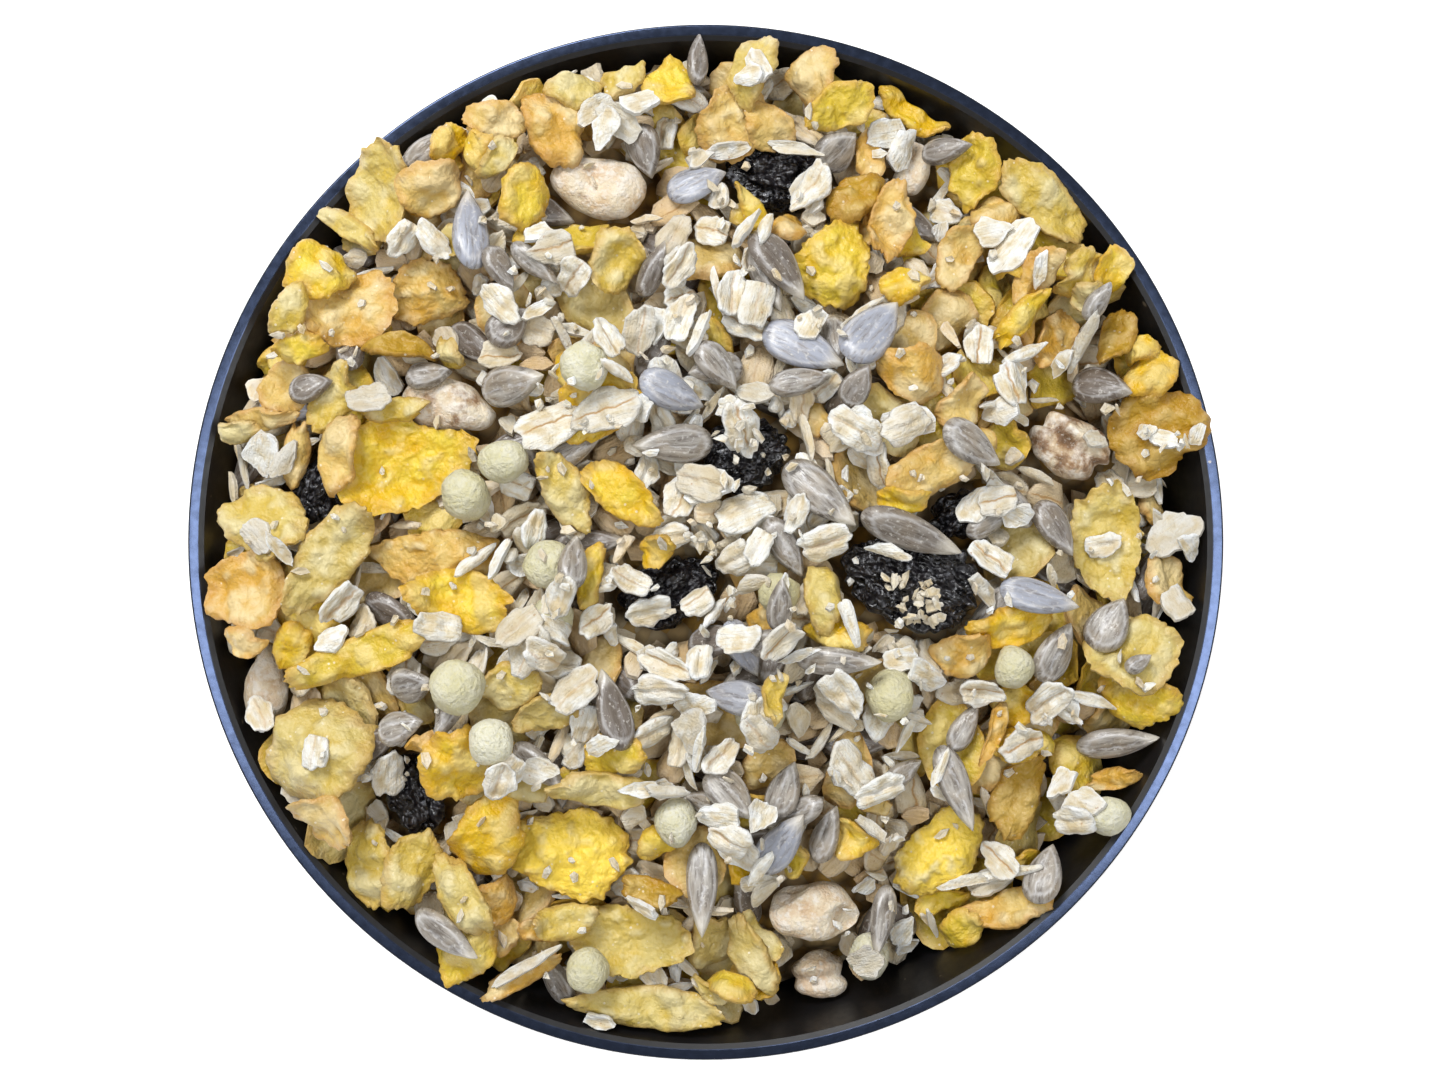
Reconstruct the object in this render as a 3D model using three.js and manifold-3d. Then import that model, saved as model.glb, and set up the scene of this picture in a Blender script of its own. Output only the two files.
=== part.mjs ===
// A bowl of loose muesli, seen from straight above in its photograph. The round black bowl is turned from
// one profile. The muesli fills it as one heap with an uneven top, a little over the rim in the middle.
// The raisins, the nuts and the largest corn flakes lie in pockets of the heap as solids of their own.
// Millimetres, +Z up, with the origin at the middle of the foot ring, on the surface that it stands on.

import * as THREE from 'three';
import { mergeVertices } from 'three/addons/utils/BufferGeometryUtils.js';
import loadManifold from 'manifold-3d';

// ---- Driving dimensions -----------------------------------------------------------------------------

const BOWL = {
  rimRadius: 65,
  height: 50,
  lipWidth: 2,
  lipFillet: 0.5,
  lipChamfer: 0.3,
  footInnerRadius: 28.8,
  footOuterRadius: 31.5,
  footRecess: 1.5,
  footHeight: 2.6,
  bodyStartRadius: 33.5,
  floorHeight: 4.8,
  floorRadius: 31,
};
const BOWL_SEGMENTS = 48; // a multiple of four, so that the bowl is as wide along X as along Y
const BODY_STEPS = 6; // straight steps along the outer and the inner curve of the body

const HEAP = {
  gap: 0.4, // to the inside of the bowl
  crownHeight: 55.5, // top of the heap, in the middle of the bowl
  edgeDrop: 12.5, // how far the heap falls from its crown to the wall
  edgeDropChange: 4.5, // more on the low side, less on the high side
  lowSideAngle: THREE.MathUtils.degToRad(-25), // the low side is at the right, towards the front
  fallPower: 2.4, // the middle is nearly level and the edge steep
  edgeThickness: 0.8,
  upperRings: 10,
  lowerRings: 6,
};
const HEAP_WAVES = [
  // length of the wave, its direction in degrees, its height and its phase
  { length: 23, direction: 15, height: 0.7, phase: 0.4 },
  { length: 19, direction: 78, height: 0.65, phase: 2.1 },
  { length: 14, direction: 134, height: 0.55, phase: 4.0 },
  { length: 16, direction: 48, height: 0.5, phase: 5.2 },
];

const POCKET_GAP = 0.3; // between a piece and the heap, or between two pieces
const COARSE_BELOW = 10; // length of a raisin or nut below which it has fewer facets

// The photograph's frame, from which the places of the toppings come. The rim is a circle there.
const PHOTO = { rimCentreX: 705.7, rimCentreY: 542.2, rimRadius: 518.1, viewHeight: 300 };
const PHOTO_SCALE = PHOTO.rimRadius / BOWL.rimRadius; // pixels for each millimetre at the rim

// Toppings: the middle in photograph pixels, then the length, width and thickness in millimetres, the
// turn in degrees from the photograph's right, and how far the middle lies above the heap's top.
const RAISINS = [
  { px: 910, py: 580, size: [16.4, 12.0, 9.5], turn: -19, lift: 0.6 },
  { px: 746, py: 455, size: [11.0, 9.4, 7.5], turn: 20, lift: -1.6 },
  { px: 775, py: 176, size: [12.4, 8.4, 7.0], turn: -10, lift: -1.6 },
  { px: 670, py: 592, size: [12.4, 8.2, 7.0], turn: 25, lift: -2.0 },
  { px: 415, py: 790, size: [10.2, 7.2, 6.4], turn: -75, lift: -1.2 },
  { px: 318, py: 487, size: [8.6, 6.4, 6.0], turn: 70, lift: -1.2 },
  { px: 957, py: 515, size: [8.0, 6.0, 5.5], turn: 35, lift: -1.8 },
];
const NUTS = [
  { px: 600, py: 185, size: [13.4, 7.4, 6.6], turn: -12, lift: 0.8, groove: 0.16 },
  { px: 450, py: 408, size: [12.3, 6.2, 6.0], turn: -8, lift: 0.6, groove: 0.08 },
  { px: 1070, py: 445, size: [11.4, 8.0, 6.4], turn: -15, lift: 0.6, groove: 0.2 },
  { px: 815, py: 912, size: [12.8, 7.6, 6.6], turn: -6, lift: 0.8, groove: 0.1 },
  { px: 268, py: 682, size: [10.4, 5.6, 5.4], turn: 85, lift: 0.4, groove: 0.06 },
  { px: 820, py: 978, size: [8.4, 6.2, 5.2], turn: -10, lift: 0.2, groove: 0.1 },
  { px: 910, py: 172, size: [8.4, 5.2, 5.0], turn: 70, lift: 0.4, groove: 0.05 },
];
// Corn flakes lean, so each also has the tilt of its plane and the direction in which it rises. The bend
// lifts the ends of its length, and the cup lifts its whole edge, in millimetres.
const FLAKES = [
  { px: 400, py: 462, size: [18.4, 13.0], turn: 14, lift: 1.7, tilt: 7, rise: 170, bend: 1.6, cup: 1.2 },
  { px: 425, py: 293, size: [10.8, 8.6], turn: 10, lift: 1.7, tilt: 8, rise: 120, bend: -0.8, cup: -1.0 },
  { px: 570, py: 852, size: [16.6, 11.6], turn: -8, lift: 1.6, tilt: 9, rise: 250, bend: -1.0, cup: -1.2 },
  { px: 941, py: 852, size: [14.6, 9.2], turn: 47, lift: 1.8, tilt: 8, rise: 300, bend: -1.4, cup: -0.9 },
  { px: 834, py: 265, size: [11.6, 10.0], turn: 75, lift: 1.6, tilt: 6, rise: 80, bend: -0.7, cup: -0.8 },
  { px: 1107, py: 540, size: [16.0, 9.6], turn: 93, lift: 2.0, tilt: 8, rise: 10, bend: 1.2, cup: 0.8 },
  { px: 436, py: 560, size: [16.6, 8.0], turn: 0, lift: 2.0, tilt: 7, rise: 90, bend: -1.2, cup: -1.0 },
  { px: 630, py: 940, size: [16.4, 9.4], turn: -6, lift: 1.6, tilt: 10, rise: 265, bend: 1.0, cup: 0.9 },
];
const FLAKE_SHAPE = { thickness: 1.2, rings: 3, segments: 14, lobes: 0.09, ripple: 0.35 };

// ---- Materials --------------------------------------------------------------------------------------

const COLOURS = {
  bowl: 0x17171a,
  oats: 0xe6dac2,
  raisin: 0x201c24,
  nut: 0xdcc7a6,
  flake: 0xe6b83c,
};

function finish(colour, roughness) {
  return new THREE.MeshStandardMaterial({ color: colour, roughness, metalness: 0 });
}

// ---- Meshes and solids ------------------------------------------------------------------------------

const wasm = await loadManifold();
wasm.setup();

// A closed solid from a geometry, with shared corners merged and triangles of no width left out.
function solidOf(geometry) {
  const bare = geometry.clone();
  bare.deleteAttribute('normal');
  bare.deleteAttribute('uv');
  const merged = mergeVertices(bare, 1e-3);
  const corners = merged.index.array;
  const kept = [];
  for (let i = 0; i < corners.length; i += 3) {
    const [a, b, c] = corners.slice(i, i + 3);
    if (a !== b && b !== c && c !== a) kept.push(a, b, c);
  }
  const mesh = new wasm.Mesh({
    numProp: 3,
    vertProperties: merged.attributes.position.array,
    triVerts: new Uint32Array(kept),
  });
  return new wasm.Manifold(mesh);
}

function geometryOf(solid) {
  const mesh = solid.getMesh();
  const geometry = new THREE.BufferGeometry();
  geometry.setAttribute('position', new THREE.BufferAttribute(mesh.vertProperties, 3));
  geometry.setIndex(new THREE.BufferAttribute(mesh.triVerts, 1));
  geometry.computeVertexNormals();
  return geometry;
}

// A closed body between an upper and a lower surface, each given by share of its radius and by angle.
function shellBetween({ segments, upperRings, lowerRings, upper, lower }) {
  const positions = [];
  const index = [];
  const addSurface = (rings, place) => {
    const centre = positions.length / 3;
    positions.push(...place(0, 0));
    for (let ring = 1; ring <= rings; ring++) {
      for (let s = 0; s < segments; s++) positions.push(...place(ring / rings, (2 * Math.PI * s) / segments));
    }
    return centre;
  };
  const corner = (centre, ring, s) => centre + 1 + (ring - 1) * segments + (s % segments);
  const addFace = (a, b, c, facesUp) => index.push(...(facesUp ? [a, b, c] : [a, c, b]));
  const joinRings = (centre, rings, facesUp) => {
    for (let s = 0; s < segments; s++) {
      addFace(centre, corner(centre, 1, s), corner(centre, 1, s + 1), facesUp);
      for (let ring = 1; ring < rings; ring++) {
        const near = corner(centre, ring, s);
        const far = corner(centre, ring + 1, s);
        const farNext = corner(centre, ring + 1, s + 1);
        const nearNext = corner(centre, ring, s + 1);
        addFace(near, far, farNext, facesUp);
        addFace(near, farNext, nearNext, facesUp);
      }
    }
  };
  const top = addSurface(upperRings, upper);
  const bottom = addSurface(lowerRings, lower);
  joinRings(top, upperRings, true);
  joinRings(bottom, lowerRings, false);
  for (let s = 0; s < segments; s++) {
    const high = corner(top, upperRings, s);
    const highNext = corner(top, upperRings, s + 1);
    const low = corner(bottom, lowerRings, s);
    const lowNext = corner(bottom, lowerRings, s + 1);
    index.push(high, low, lowNext, high, lowNext, highNext);
  }
  const geometry = new THREE.BufferGeometry();
  geometry.setAttribute('position', new THREE.Float32BufferAttribute(positions, 3));
  geometry.setIndex(index);
  return geometry;
}

// ---- Bowl -------------------------------------------------------------------------------------------

// The outer and the inner curve of the body run from the floor up to the lip, nearly upright at the top.
const outerCurve = new THREE.CubicBezierCurve(
  new THREE.Vector2(BOWL.bodyStartRadius, BOWL.footHeight),
  new THREE.Vector2(50, 4.4),
  new THREE.Vector2(60.2, 20),
  new THREE.Vector2(BOWL.rimRadius, BOWL.height - BOWL.lipFillet),
);
const innerCurve = new THREE.CubicBezierCurve(
  new THREE.Vector2(BOWL.floorRadius, BOWL.floorHeight),
  new THREE.Vector2(48.6, 6.6),
  new THREE.Vector2(58, 22),
  new THREE.Vector2(BOWL.rimRadius - BOWL.lipWidth, BOWL.height - BOWL.lipChamfer),
);

function bowlProfile() {
  const { rimRadius, height, lipWidth, lipFillet, lipChamfer } = BOWL;
  return [
    new THREE.Vector2(0, BOWL.footRecess),
    new THREE.Vector2(BOWL.footInnerRadius, BOWL.footRecess),
    new THREE.Vector2(BOWL.footInnerRadius, 0),
    new THREE.Vector2(BOWL.footOuterRadius, 0),
    ...outerCurve.getPoints(BODY_STEPS),
    new THREE.Vector2(rimRadius - lipFillet * 0.3, height - lipFillet * 0.3),
    new THREE.Vector2(rimRadius - lipFillet, height),
    new THREE.Vector2(rimRadius - lipWidth + lipChamfer, height),
    ...innerCurve.getPoints(BODY_STEPS).reverse(),
    new THREE.Vector2(0, BOWL.floorHeight),
  ];
}

function bowlSolid() {
  const turned = new THREE.LatheGeometry(bowlProfile(), BOWL_SEGMENTS);
  turned.rotateX(Math.PI / 2);
  return solidOf(turned);
}

// ---- Heap -------------------------------------------------------------------------------------------

function heapEdgeHeight(angle) {
  const drop = HEAP.edgeDrop + HEAP.edgeDropChange * Math.cos(angle - HEAP.lowSideAngle);
  return HEAP.crownHeight - drop;
}

// The share of the inner curve at which it reaches a height, found by halving.
function innerCurveShareAt(height) {
  let [low, high] = [0, 1];
  for (let step = 0; step < 30; step++) {
    const middle = (low + high) / 2;
    if (innerCurve.getPoint(middle).y < height) low = middle;
    else high = middle;
  }
  return low;
}

function wallRadiusAt(height) {
  return innerCurve.getPoint(innerCurveShareAt(height)).x - HEAP.gap;
}

function waviness(x, y) {
  let sum = 0;
  for (const wave of HEAP_WAVES) {
    const direction = THREE.MathUtils.degToRad(wave.direction);
    const along = x * Math.cos(direction) + y * Math.sin(direction);
    sum += wave.height * Math.sin((2 * Math.PI * along) / wave.length + wave.phase);
  }
  return sum;
}

function heapTop(x, y) {
  const angle = Math.atan2(y, x);
  const edge = heapEdgeHeight(angle);
  const share = Math.min(Math.hypot(x, y) / wallRadiusAt(edge), 1);
  const fall = (HEAP.crownHeight - edge) * share ** HEAP.fallPower;
  const calm = 1 - share ** 6; // the waves die out at the wall
  return HEAP.crownHeight - fall + waviness(x, y) * calm;
}

function heapSolid() {
  const upper = (share, angle) => {
    const radius = share * wallRadiusAt(heapEdgeHeight(angle));
    const x = radius * Math.cos(angle);
    const y = radius * Math.sin(angle);
    return [x, y, heapTop(x, y)];
  };
  // Under the floor's edge the heap is flat, and from there it follows the inner curve up to its own edge.
  const lower = (share, angle) => {
    const flatShare = 1 / HEAP.lowerRings;
    const bottom = BOWL.floorHeight + HEAP.gap;
    if (share < flatShare / 2) return [0, 0, bottom];
    const edge = heapEdgeHeight(angle) - HEAP.edgeThickness;
    const along = ((share - flatShare) / (1 - flatShare)) * innerCurveShareAt(edge);
    const onCurve = innerCurve.getPoint(along);
    const tangent = innerCurve.getTangent(along);
    const radius = onCurve.x - tangent.y * HEAP.gap;
    const height = onCurve.y + tangent.x * HEAP.gap;
    return [radius * Math.cos(angle), radius * Math.sin(angle), height];
  };
  return solidOf(
    shellBetween({
      segments: BOWL_SEGMENTS,
      upperRings: HEAP.upperRings,
      lowerRings: HEAP.lowerRings,
      upper,
      lower,
    }),
  );
}

// ---- Toppings ---------------------------------------------------------------------------------------

// Where a point of the photograph lies on the heap. What is above the rim looks larger from above.
function placeOnHeap(px, py, lift) {
  let height = HEAP.crownHeight;
  let x = 0;
  let y = 0;
  for (let step = 0; step < 4; step++) {
    const nearness = (PHOTO.viewHeight + BOWL.height - height) / PHOTO.viewHeight;
    x = ((px - PHOTO.rimCentreX) / PHOTO_SCALE) * nearness;
    y = ((PHOTO.rimCentreY - py) / PHOTO_SCALE) * nearness;
    height = heapTop(x, y) + lift;
  }
  return new THREE.Vector3(x, y, height);
}

// A round body of the given size, with its unit sphere reshaped point by point. Small ones are coarser.
function roundSolid(size, reshape) {
  const ball = new THREE.IcosahedronGeometry(1, size[0] > COARSE_BELOW ? 2 : 1);
  const points = ball.attributes.position;
  const point = new THREE.Vector3();
  for (let i = 0; i < points.count; i++) {
    point.fromBufferAttribute(points, i);
    reshape(point);
    points.setXYZ(i, (point.x * size[0]) / 2, (point.y * size[1]) / 2, (point.z * size[2]) / 2);
  }
  return ball;
}

// Raisins are wrinkled along their length and dented on top.
function raisinShape(raisin, number, grow) {
  const wrinkles = 5 + (number % 3);
  return roundSolid(raisin.size.map((side) => side + 2 * grow), (point) => {
    const round = Math.atan2(point.z, point.y);
    const swell = 1 - 0.07 * (1 + Math.cos(wrinkles * round + number + 2 * point.x));
    const taper = 1 - 0.12 * point.x * (number % 2 ? 1 : -1);
    point.y *= swell * taper;
    point.z *= swell * taper;
  });
}

// Nuts are long, a little bent, with a groove along the top where the two halves meet.
function nutShape(nut, number, grow) {
  const bend = number % 2 ? 0.18 : -0.14;
  return roundSolid(nut.size.map((side) => side + 2 * grow), (point) => {
    const groove = nut.groove * Math.exp(-((point.y / 0.28) ** 2)) * (1 - point.x ** 2);
    if (point.z > 0) point.z -= groove;
    point.y += bend * (0.5 - point.x ** 2);
    point.y *= 1 - 0.1 * point.x;
  });
}

function flakeShape(flake, number, grow) {
  const { thickness, rings, segments, lobes, ripple } = FLAKE_SHAPE;
  const [halfLength, halfWidth] = flake.size.map((side) => side / 2 + grow);
  const surface = (side) => (share, angle) => {
    const threeLobes = Math.cos(3 * angle + number * 1.7);
    const fiveLobes = Math.cos(5 * angle + number * 2.9);
    const outline = 1 + lobes * threeLobes + 0.7 * lobes * fiveLobes;
    const u = share * outline * Math.cos(angle);
    const v = share * outline * Math.sin(angle);
    const bent = flake.bend * u * u + flake.cup * share * share;
    const rippled = ripple * Math.sin(2.6 * u + 4.1 * v + number) * (0.4 + share);
    const half = (thickness / 2 + grow) * side * (1 - 0.25 * share);
    return [u * halfLength, v * halfWidth, bent + rippled + half];
  };
  return shellBetween({
    segments,
    upperRings: rings,
    lowerRings: rings,
    upper: surface(1),
    lower: surface(-1),
  });
}

// The turned and tilted frame of a topping, in its place on the heap.
function frameOf(topping) {
  const turn = THREE.MathUtils.degToRad(topping.turn);
  const tilt = THREE.MathUtils.degToRad(topping.tilt ?? 0);
  const rise = THREE.MathUtils.degToRad(topping.rise ?? 0);
  const tiltAxis = new THREE.Vector3(Math.sin(rise), -Math.cos(rise), 0);
  const frame = new THREE.Quaternion().setFromAxisAngle(tiltAxis, tilt);
  frame.multiply(new THREE.Quaternion().setFromAxisAngle(new THREE.Vector3(0, 0, 1), turn));
  const place = placeOnHeap(topping.px, topping.py, topping.lift);
  return new THREE.Matrix4().compose(place, frame, new THREE.Vector3(1, 1, 1));
}

// One solid for each topping, and the larger one that makes room for it in whatever lies round it.
function toppingsOf(kind, list, shape, colour, roughness) {
  return list.map((topping, number) => {
    const frame = frameOf(topping);
    return {
      name: `${kind}_${number + 1}`,
      colour,
      roughness,
      solid: solidOf(shape(topping, number, 0).applyMatrix4(frame)),
      room: solidOf(shape(topping, number, POCKET_GAP).applyMatrix4(frame)),
    };
  });
}

// ---- The whole --------------------------------------------------------------------------------------

const group = new THREE.Group();

function addPiece(name, solid, colour, roughness) {
  const mesh = new THREE.Mesh(geometryOf(solid), finish(colour, roughness));
  mesh.name = name;
  group.add(mesh);
}

const toppings = [
  ...toppingsOf('raisin', RAISINS, raisinShape, COLOURS.raisin, 0.55),
  ...toppingsOf('nut', NUTS, nutShape, COLOURS.nut, 0.6),
  ...toppingsOf('corn_flake', FLAKES, flakeShape, COLOURS.flake, 0.5),
];

// Each topping makes room for itself in the heap and in the toppings after it, which lie against it.
let heap = heapSolid();
toppings.forEach((topping, number) => {
  heap = heap.subtract(topping.room);
  for (const later of toppings.slice(number + 1)) later.solid = later.solid.subtract(topping.room);
});

addPiece('bowl', bowlSolid(), COLOURS.bowl, 0.4);
addPiece('granola_heap', heap, COLOURS.oats, 0.8);
for (const { name, solid, colour, roughness } of toppings) addPiece(name, solid, colour, roughness);

export default group;
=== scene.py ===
"""The looks of a bowl of loose muesli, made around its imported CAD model.

The heap is rebuilt from single oats, flakes, kernels, puffs and crumbs. Each is dropped onto a map of
heights, where it comes to rest on what lies below it. Lengths are in millimetres until a mesh is made, and
in metres in Blender."""

import math

import bmesh
import bpy
import numpy as np
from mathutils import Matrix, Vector
from mathutils.bvhtree import BVHTree


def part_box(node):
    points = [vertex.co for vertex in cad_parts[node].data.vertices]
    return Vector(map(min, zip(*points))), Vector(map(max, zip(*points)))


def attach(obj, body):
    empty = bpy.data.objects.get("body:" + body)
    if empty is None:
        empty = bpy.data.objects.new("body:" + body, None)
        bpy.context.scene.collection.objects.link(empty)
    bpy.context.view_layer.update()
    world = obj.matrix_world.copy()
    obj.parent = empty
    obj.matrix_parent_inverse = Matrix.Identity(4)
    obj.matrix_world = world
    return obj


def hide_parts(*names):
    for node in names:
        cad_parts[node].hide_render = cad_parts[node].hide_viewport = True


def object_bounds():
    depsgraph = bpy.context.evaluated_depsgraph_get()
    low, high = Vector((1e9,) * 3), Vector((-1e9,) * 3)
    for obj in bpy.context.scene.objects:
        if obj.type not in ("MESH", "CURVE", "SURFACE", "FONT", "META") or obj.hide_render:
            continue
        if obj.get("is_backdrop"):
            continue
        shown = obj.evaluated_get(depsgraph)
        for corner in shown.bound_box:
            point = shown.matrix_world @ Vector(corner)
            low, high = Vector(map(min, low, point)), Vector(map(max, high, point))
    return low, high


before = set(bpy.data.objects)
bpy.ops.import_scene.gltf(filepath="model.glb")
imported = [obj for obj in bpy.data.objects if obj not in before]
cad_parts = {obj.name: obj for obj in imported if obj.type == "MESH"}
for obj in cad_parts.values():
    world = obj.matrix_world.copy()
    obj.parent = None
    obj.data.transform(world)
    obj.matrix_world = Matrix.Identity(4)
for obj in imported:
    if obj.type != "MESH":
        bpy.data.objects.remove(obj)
cad_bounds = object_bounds()

MM = 0.001
RNG = np.random.default_rng(6416)
UV_NAME = "OFBake"
GRAIN_REACH = 300

bowl_corner = np.array(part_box("bowl")[1]) / MM
RIM_RADIUS = bowl_corner[0]
RIM_HEIGHT = bowl_corner[2]
LIP_WIDTH = 2.0

# The photograph: the rim is a circle in it, seen from straight above.
PHOTO_WIDTH = 1452
PHOTO_HEIGHT = 1089
RIM_CENTRE = (705.7, 542.2)
RIM_PIXELS = 518.1
PIXELS_PER_MM = RIM_PIXELS / RIM_RADIUS
VIEW_HEIGHT = 300.0  # of the camera above the rim


def from_photo(px, py, height):
    """Where a pixel of the photograph lies in the plane at this height."""
    nearness = (VIEW_HEIGHT + RIM_HEIGHT - height) / VIEW_HEIGHT / PIXELS_PER_MM
    return (px - RIM_CENTRE[0]) * nearness, (RIM_CENTRE[1] - py) * nearness


# ---- Noise ----

LATTICE = RNG.uniform(-1, 1, 1 << 14)
PRIMES = np.array([73856093, 19349663, 83492791])


def noise(points, size):
    """Smooth noise from -1 to 1 at two- or three-dimensional points, with bumps about size across."""
    scaled = np.asarray(points, float) / size
    cell = np.floor(scaled).astype(np.int64)
    part = scaled - cell
    part = part * part * (3 - 2 * part)
    axes = scaled.shape[1]
    total = np.zeros(len(scaled))
    for corner in np.ndindex(*(2,) * axes):
        mixed = np.bitwise_xor.reduce((cell + corner) * PRIMES[:axes], axis=1)
        weight = np.where(corner, part, 1 - part).prod(1)
        total += weight * LATTICE[mixed & (len(LATTICE) - 1)]
    return total


def noise_place(axes, reach=500):
    """A random place in the noise, so that no two pieces look alike."""
    return RNG.uniform(-reach, reach, axes)


def harmonics(strengths):
    """A function of the angle that sums waves of the given numbers and strengths, with random phases."""
    phases = RNG.uniform(0, 2 * math.pi, len(strengths))

    def sum_at(angle):
        waves = (
            strength * np.cos(number * angle + phase)
            for (number, strength), phase in zip(strengths.items(), phases)
        )
        return sum(waves)

    return sum_at


def columns(*values):
    """One row for each point, from the lists of its numbers."""
    return np.stack(values, 1)


def smooth_step(low, high, value):
    """0 up to low, 1 from high, and a smooth rise between them."""
    part = np.clip((value - low) / (high - low), 0, 1)
    return part * part * (3 - 2 * part)


# ---- Shapes ----

TILE_SIZE = 2.2  # the width of half a tile, in reaches of the piece in it
STEEP = 0.3  # a face is steep if less than this share of its normal points up or down
STEEP_SHIFT = 0.12
RING_SPACING = 0.85  # below 1 the rings lie closer together towards the edge
SAMPLE_STEP = 0.42  # between the points by which a plate settles


class Shape:
    """A small solid: its mesh, what its material reads at each corner, and the points by which it settles.

    shade holds the share of the way from the middle to the edge, and the relief, for each vertex."""

    def __init__(self, verts, faces, shade, upper, lower):
        self.verts, self.faces, self.shade = verts, faces, shade
        self.upper, self.lower = upper, lower
        self.reach = np.abs(verts[:, :2]).max()
        self.uv = self.bake_places()

    def bake_places(self):
        """Each corner's place in a unit tile: what shows from above lies left, and from below right."""
        flat = self.verts[:, :2] / (TILE_SIZE * self.reach) + 0.5
        corners = self.verts[self.faces]
        normal = np.cross(corners[:, 1] - corners[:, 0], corners[:, 2] - corners[:, 0])
        steep = np.abs(normal[:, 2]) < STEEP * np.linalg.norm(normal, axis=1)
        middle = corners.mean(1)[:, 2] - self.verts[:, 2].mean()
        below = np.where(steep, middle < 0, normal[:, 2] < 0)
        uv = flat[self.faces]
        # A steep face would have no width seen from above, so its lower corners are moved outwards.
        outward = uv - 0.5
        rank = corners[:, :, 2] - corners[:, :, 2].mean(1, keepdims=True)
        uv = uv + outward * np.where(steep[:, None], -STEEP_SHIFT * np.sign(rank), 0)[:, :, None]
        uv[:, :, 0] = uv[:, :, 0] / 2 + 0.5 * below[:, None]
        return uv.clip(0.002, 0.998)


def polar_points(rings, segments):
    """The middle, and then ring after ring of points, as shares of the radius and as angles."""
    share = np.repeat((np.arange(1, rings + 1) / rings) ** RING_SPACING, segments)
    angle = np.tile(np.arange(segments) * 2 * math.pi / segments, rings)
    return np.append(0.0, share), np.append(0.0, angle)


def fan(middle, first, segments):
    """The faces between a vertex and the ring that begins at first."""
    here = np.arange(segments)
    return columns(np.full(segments, middle), first + here, first + (here + 1) % segments)


def band(near, far, segments):
    """The faces between the rings that begin at near and at far."""
    here = np.arange(segments)
    after = (here + 1) % segments
    inner = columns(near + here, far + here, far + after)
    return np.vstack([inner, columns(near + here, far + after, near + after)])


def polar_faces(rings, segments):
    """The faces of a middle point and the rings around it."""
    firsts = 1 + np.arange(rings - 1) * segments
    bands = [band(first, first + segments, segments) for first in firsts]
    return np.vstack([fan(0, 1, segments), *bands])


def closed_faces(rings, rings_below, segments):
    """The faces of an upper and a lower set of rings, joined along their outer rings."""
    count = 1 + rings * segments
    count_below = 1 + rings_below * segments
    upper = polar_faces(rings, segments)
    lower = polar_faces(rings_below, segments)[:, ::-1] + count
    side = band(count - segments, count + count_below - segments, segments)
    return np.vstack([upper, lower, side])


def plate(surface, rings, segments, reach):
    """A closed plate. surface(share, angle) gives x, y, its upper height, its lower height and its relief."""

    def sides(rings, segments):
        share, angle = polar_points(rings, segments)
        x, y, high, low, relief = surface(share, angle)
        return columns(x, y, high), columns(x, y, low), columns(share, relief)

    upper, lower, shade = sides(rings, segments)
    # The underside, which hardly shows, keeps every third ring.
    kept = [ring for ring in range(rings) if (rings - 1 - ring) % 3 == 0]
    rows = np.concatenate([[0]] + [1 + ring * segments + np.arange(segments) for ring in kept])
    faces = closed_faces(rings, len(kept), segments)
    shade = np.vstack([shade, shade[rows]])
    fine_rings = max(3, round(reach / SAMPLE_STEP))
    fine_segments = max(10, round(2 * math.pi * reach / SAMPLE_STEP))
    fine_upper = sides(fine_rings, fine_segments)[0]
    few_lower = sides(max(3, fine_rings // 4), max(12, fine_segments // 4))[1]
    return Shape(np.vstack([upper, lower[rows]]), faces, shade, fine_upper, few_lower)


def ball(subdivisions):
    """The vertices and faces of a unit sphere made of triangles."""
    bm = bmesh.new()
    bmesh.ops.create_icosphere(bm, subdivisions=subdivisions, radius=1)
    verts = np.array([v.co[:] for v in bm.verts])
    faces = np.array([[v.index for v in f.verts] for f in bm.faces])
    bm.free()
    return verts, faces


BALLS = {level: ball(level) for level in (2, 3)}


def oat_flake(length, width, rings, segments):
    """A rolled oat: a thin oval with a crease along it, a little curled, with a ragged edge."""
    ragged = harmonics({2: 0.05, 3: 0.06, 4: 0.05, 5: 0.04, 7: 0.035, 9: 0.03, 11: 0.03})
    egg = RNG.uniform(-0.14, 0.14)
    cut = RNG.uniform(0.6, 1.4)  # where an end has broken off
    thickness = RNG.uniform(0.8, 1.3)
    curl = RNG.uniform(-0.4, 0.8)
    bow = RNG.uniform(-0.5, 0.7)
    crease = RNG.uniform(0.2, 0.5)
    twist = RNG.uniform(-0.4, 0.4)
    offset = noise_place(2)

    def surface(share, angle):
        radius = share * (1 + ragged(angle))
        u = np.minimum(radius * np.cos(angle), cut)
        v = radius * np.sin(angle) * (1 + egg * np.cos(angle))
        x, y = u * length / 2, v * width / 2
        place = columns(x, y) + offset
        fold = np.exp(-((y / 0.4) ** 2)) * (1 - smooth_step(0.75, 1, np.abs(u)))
        middle = curl * v * v + bow * u * u + twist * u * v + 0.3 * noise(place, 1.3)
        relief = 0.5 * noise(place * [0.6, 1.4], 0.8)
        half = thickness / 2 * (1 - 0.6 * share**3)
        return x, y, middle + half - crease * fold + 0.15 * relief, middle - half, relief

    return plate(surface, rings, segments, max(length, width) / 2)


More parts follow.
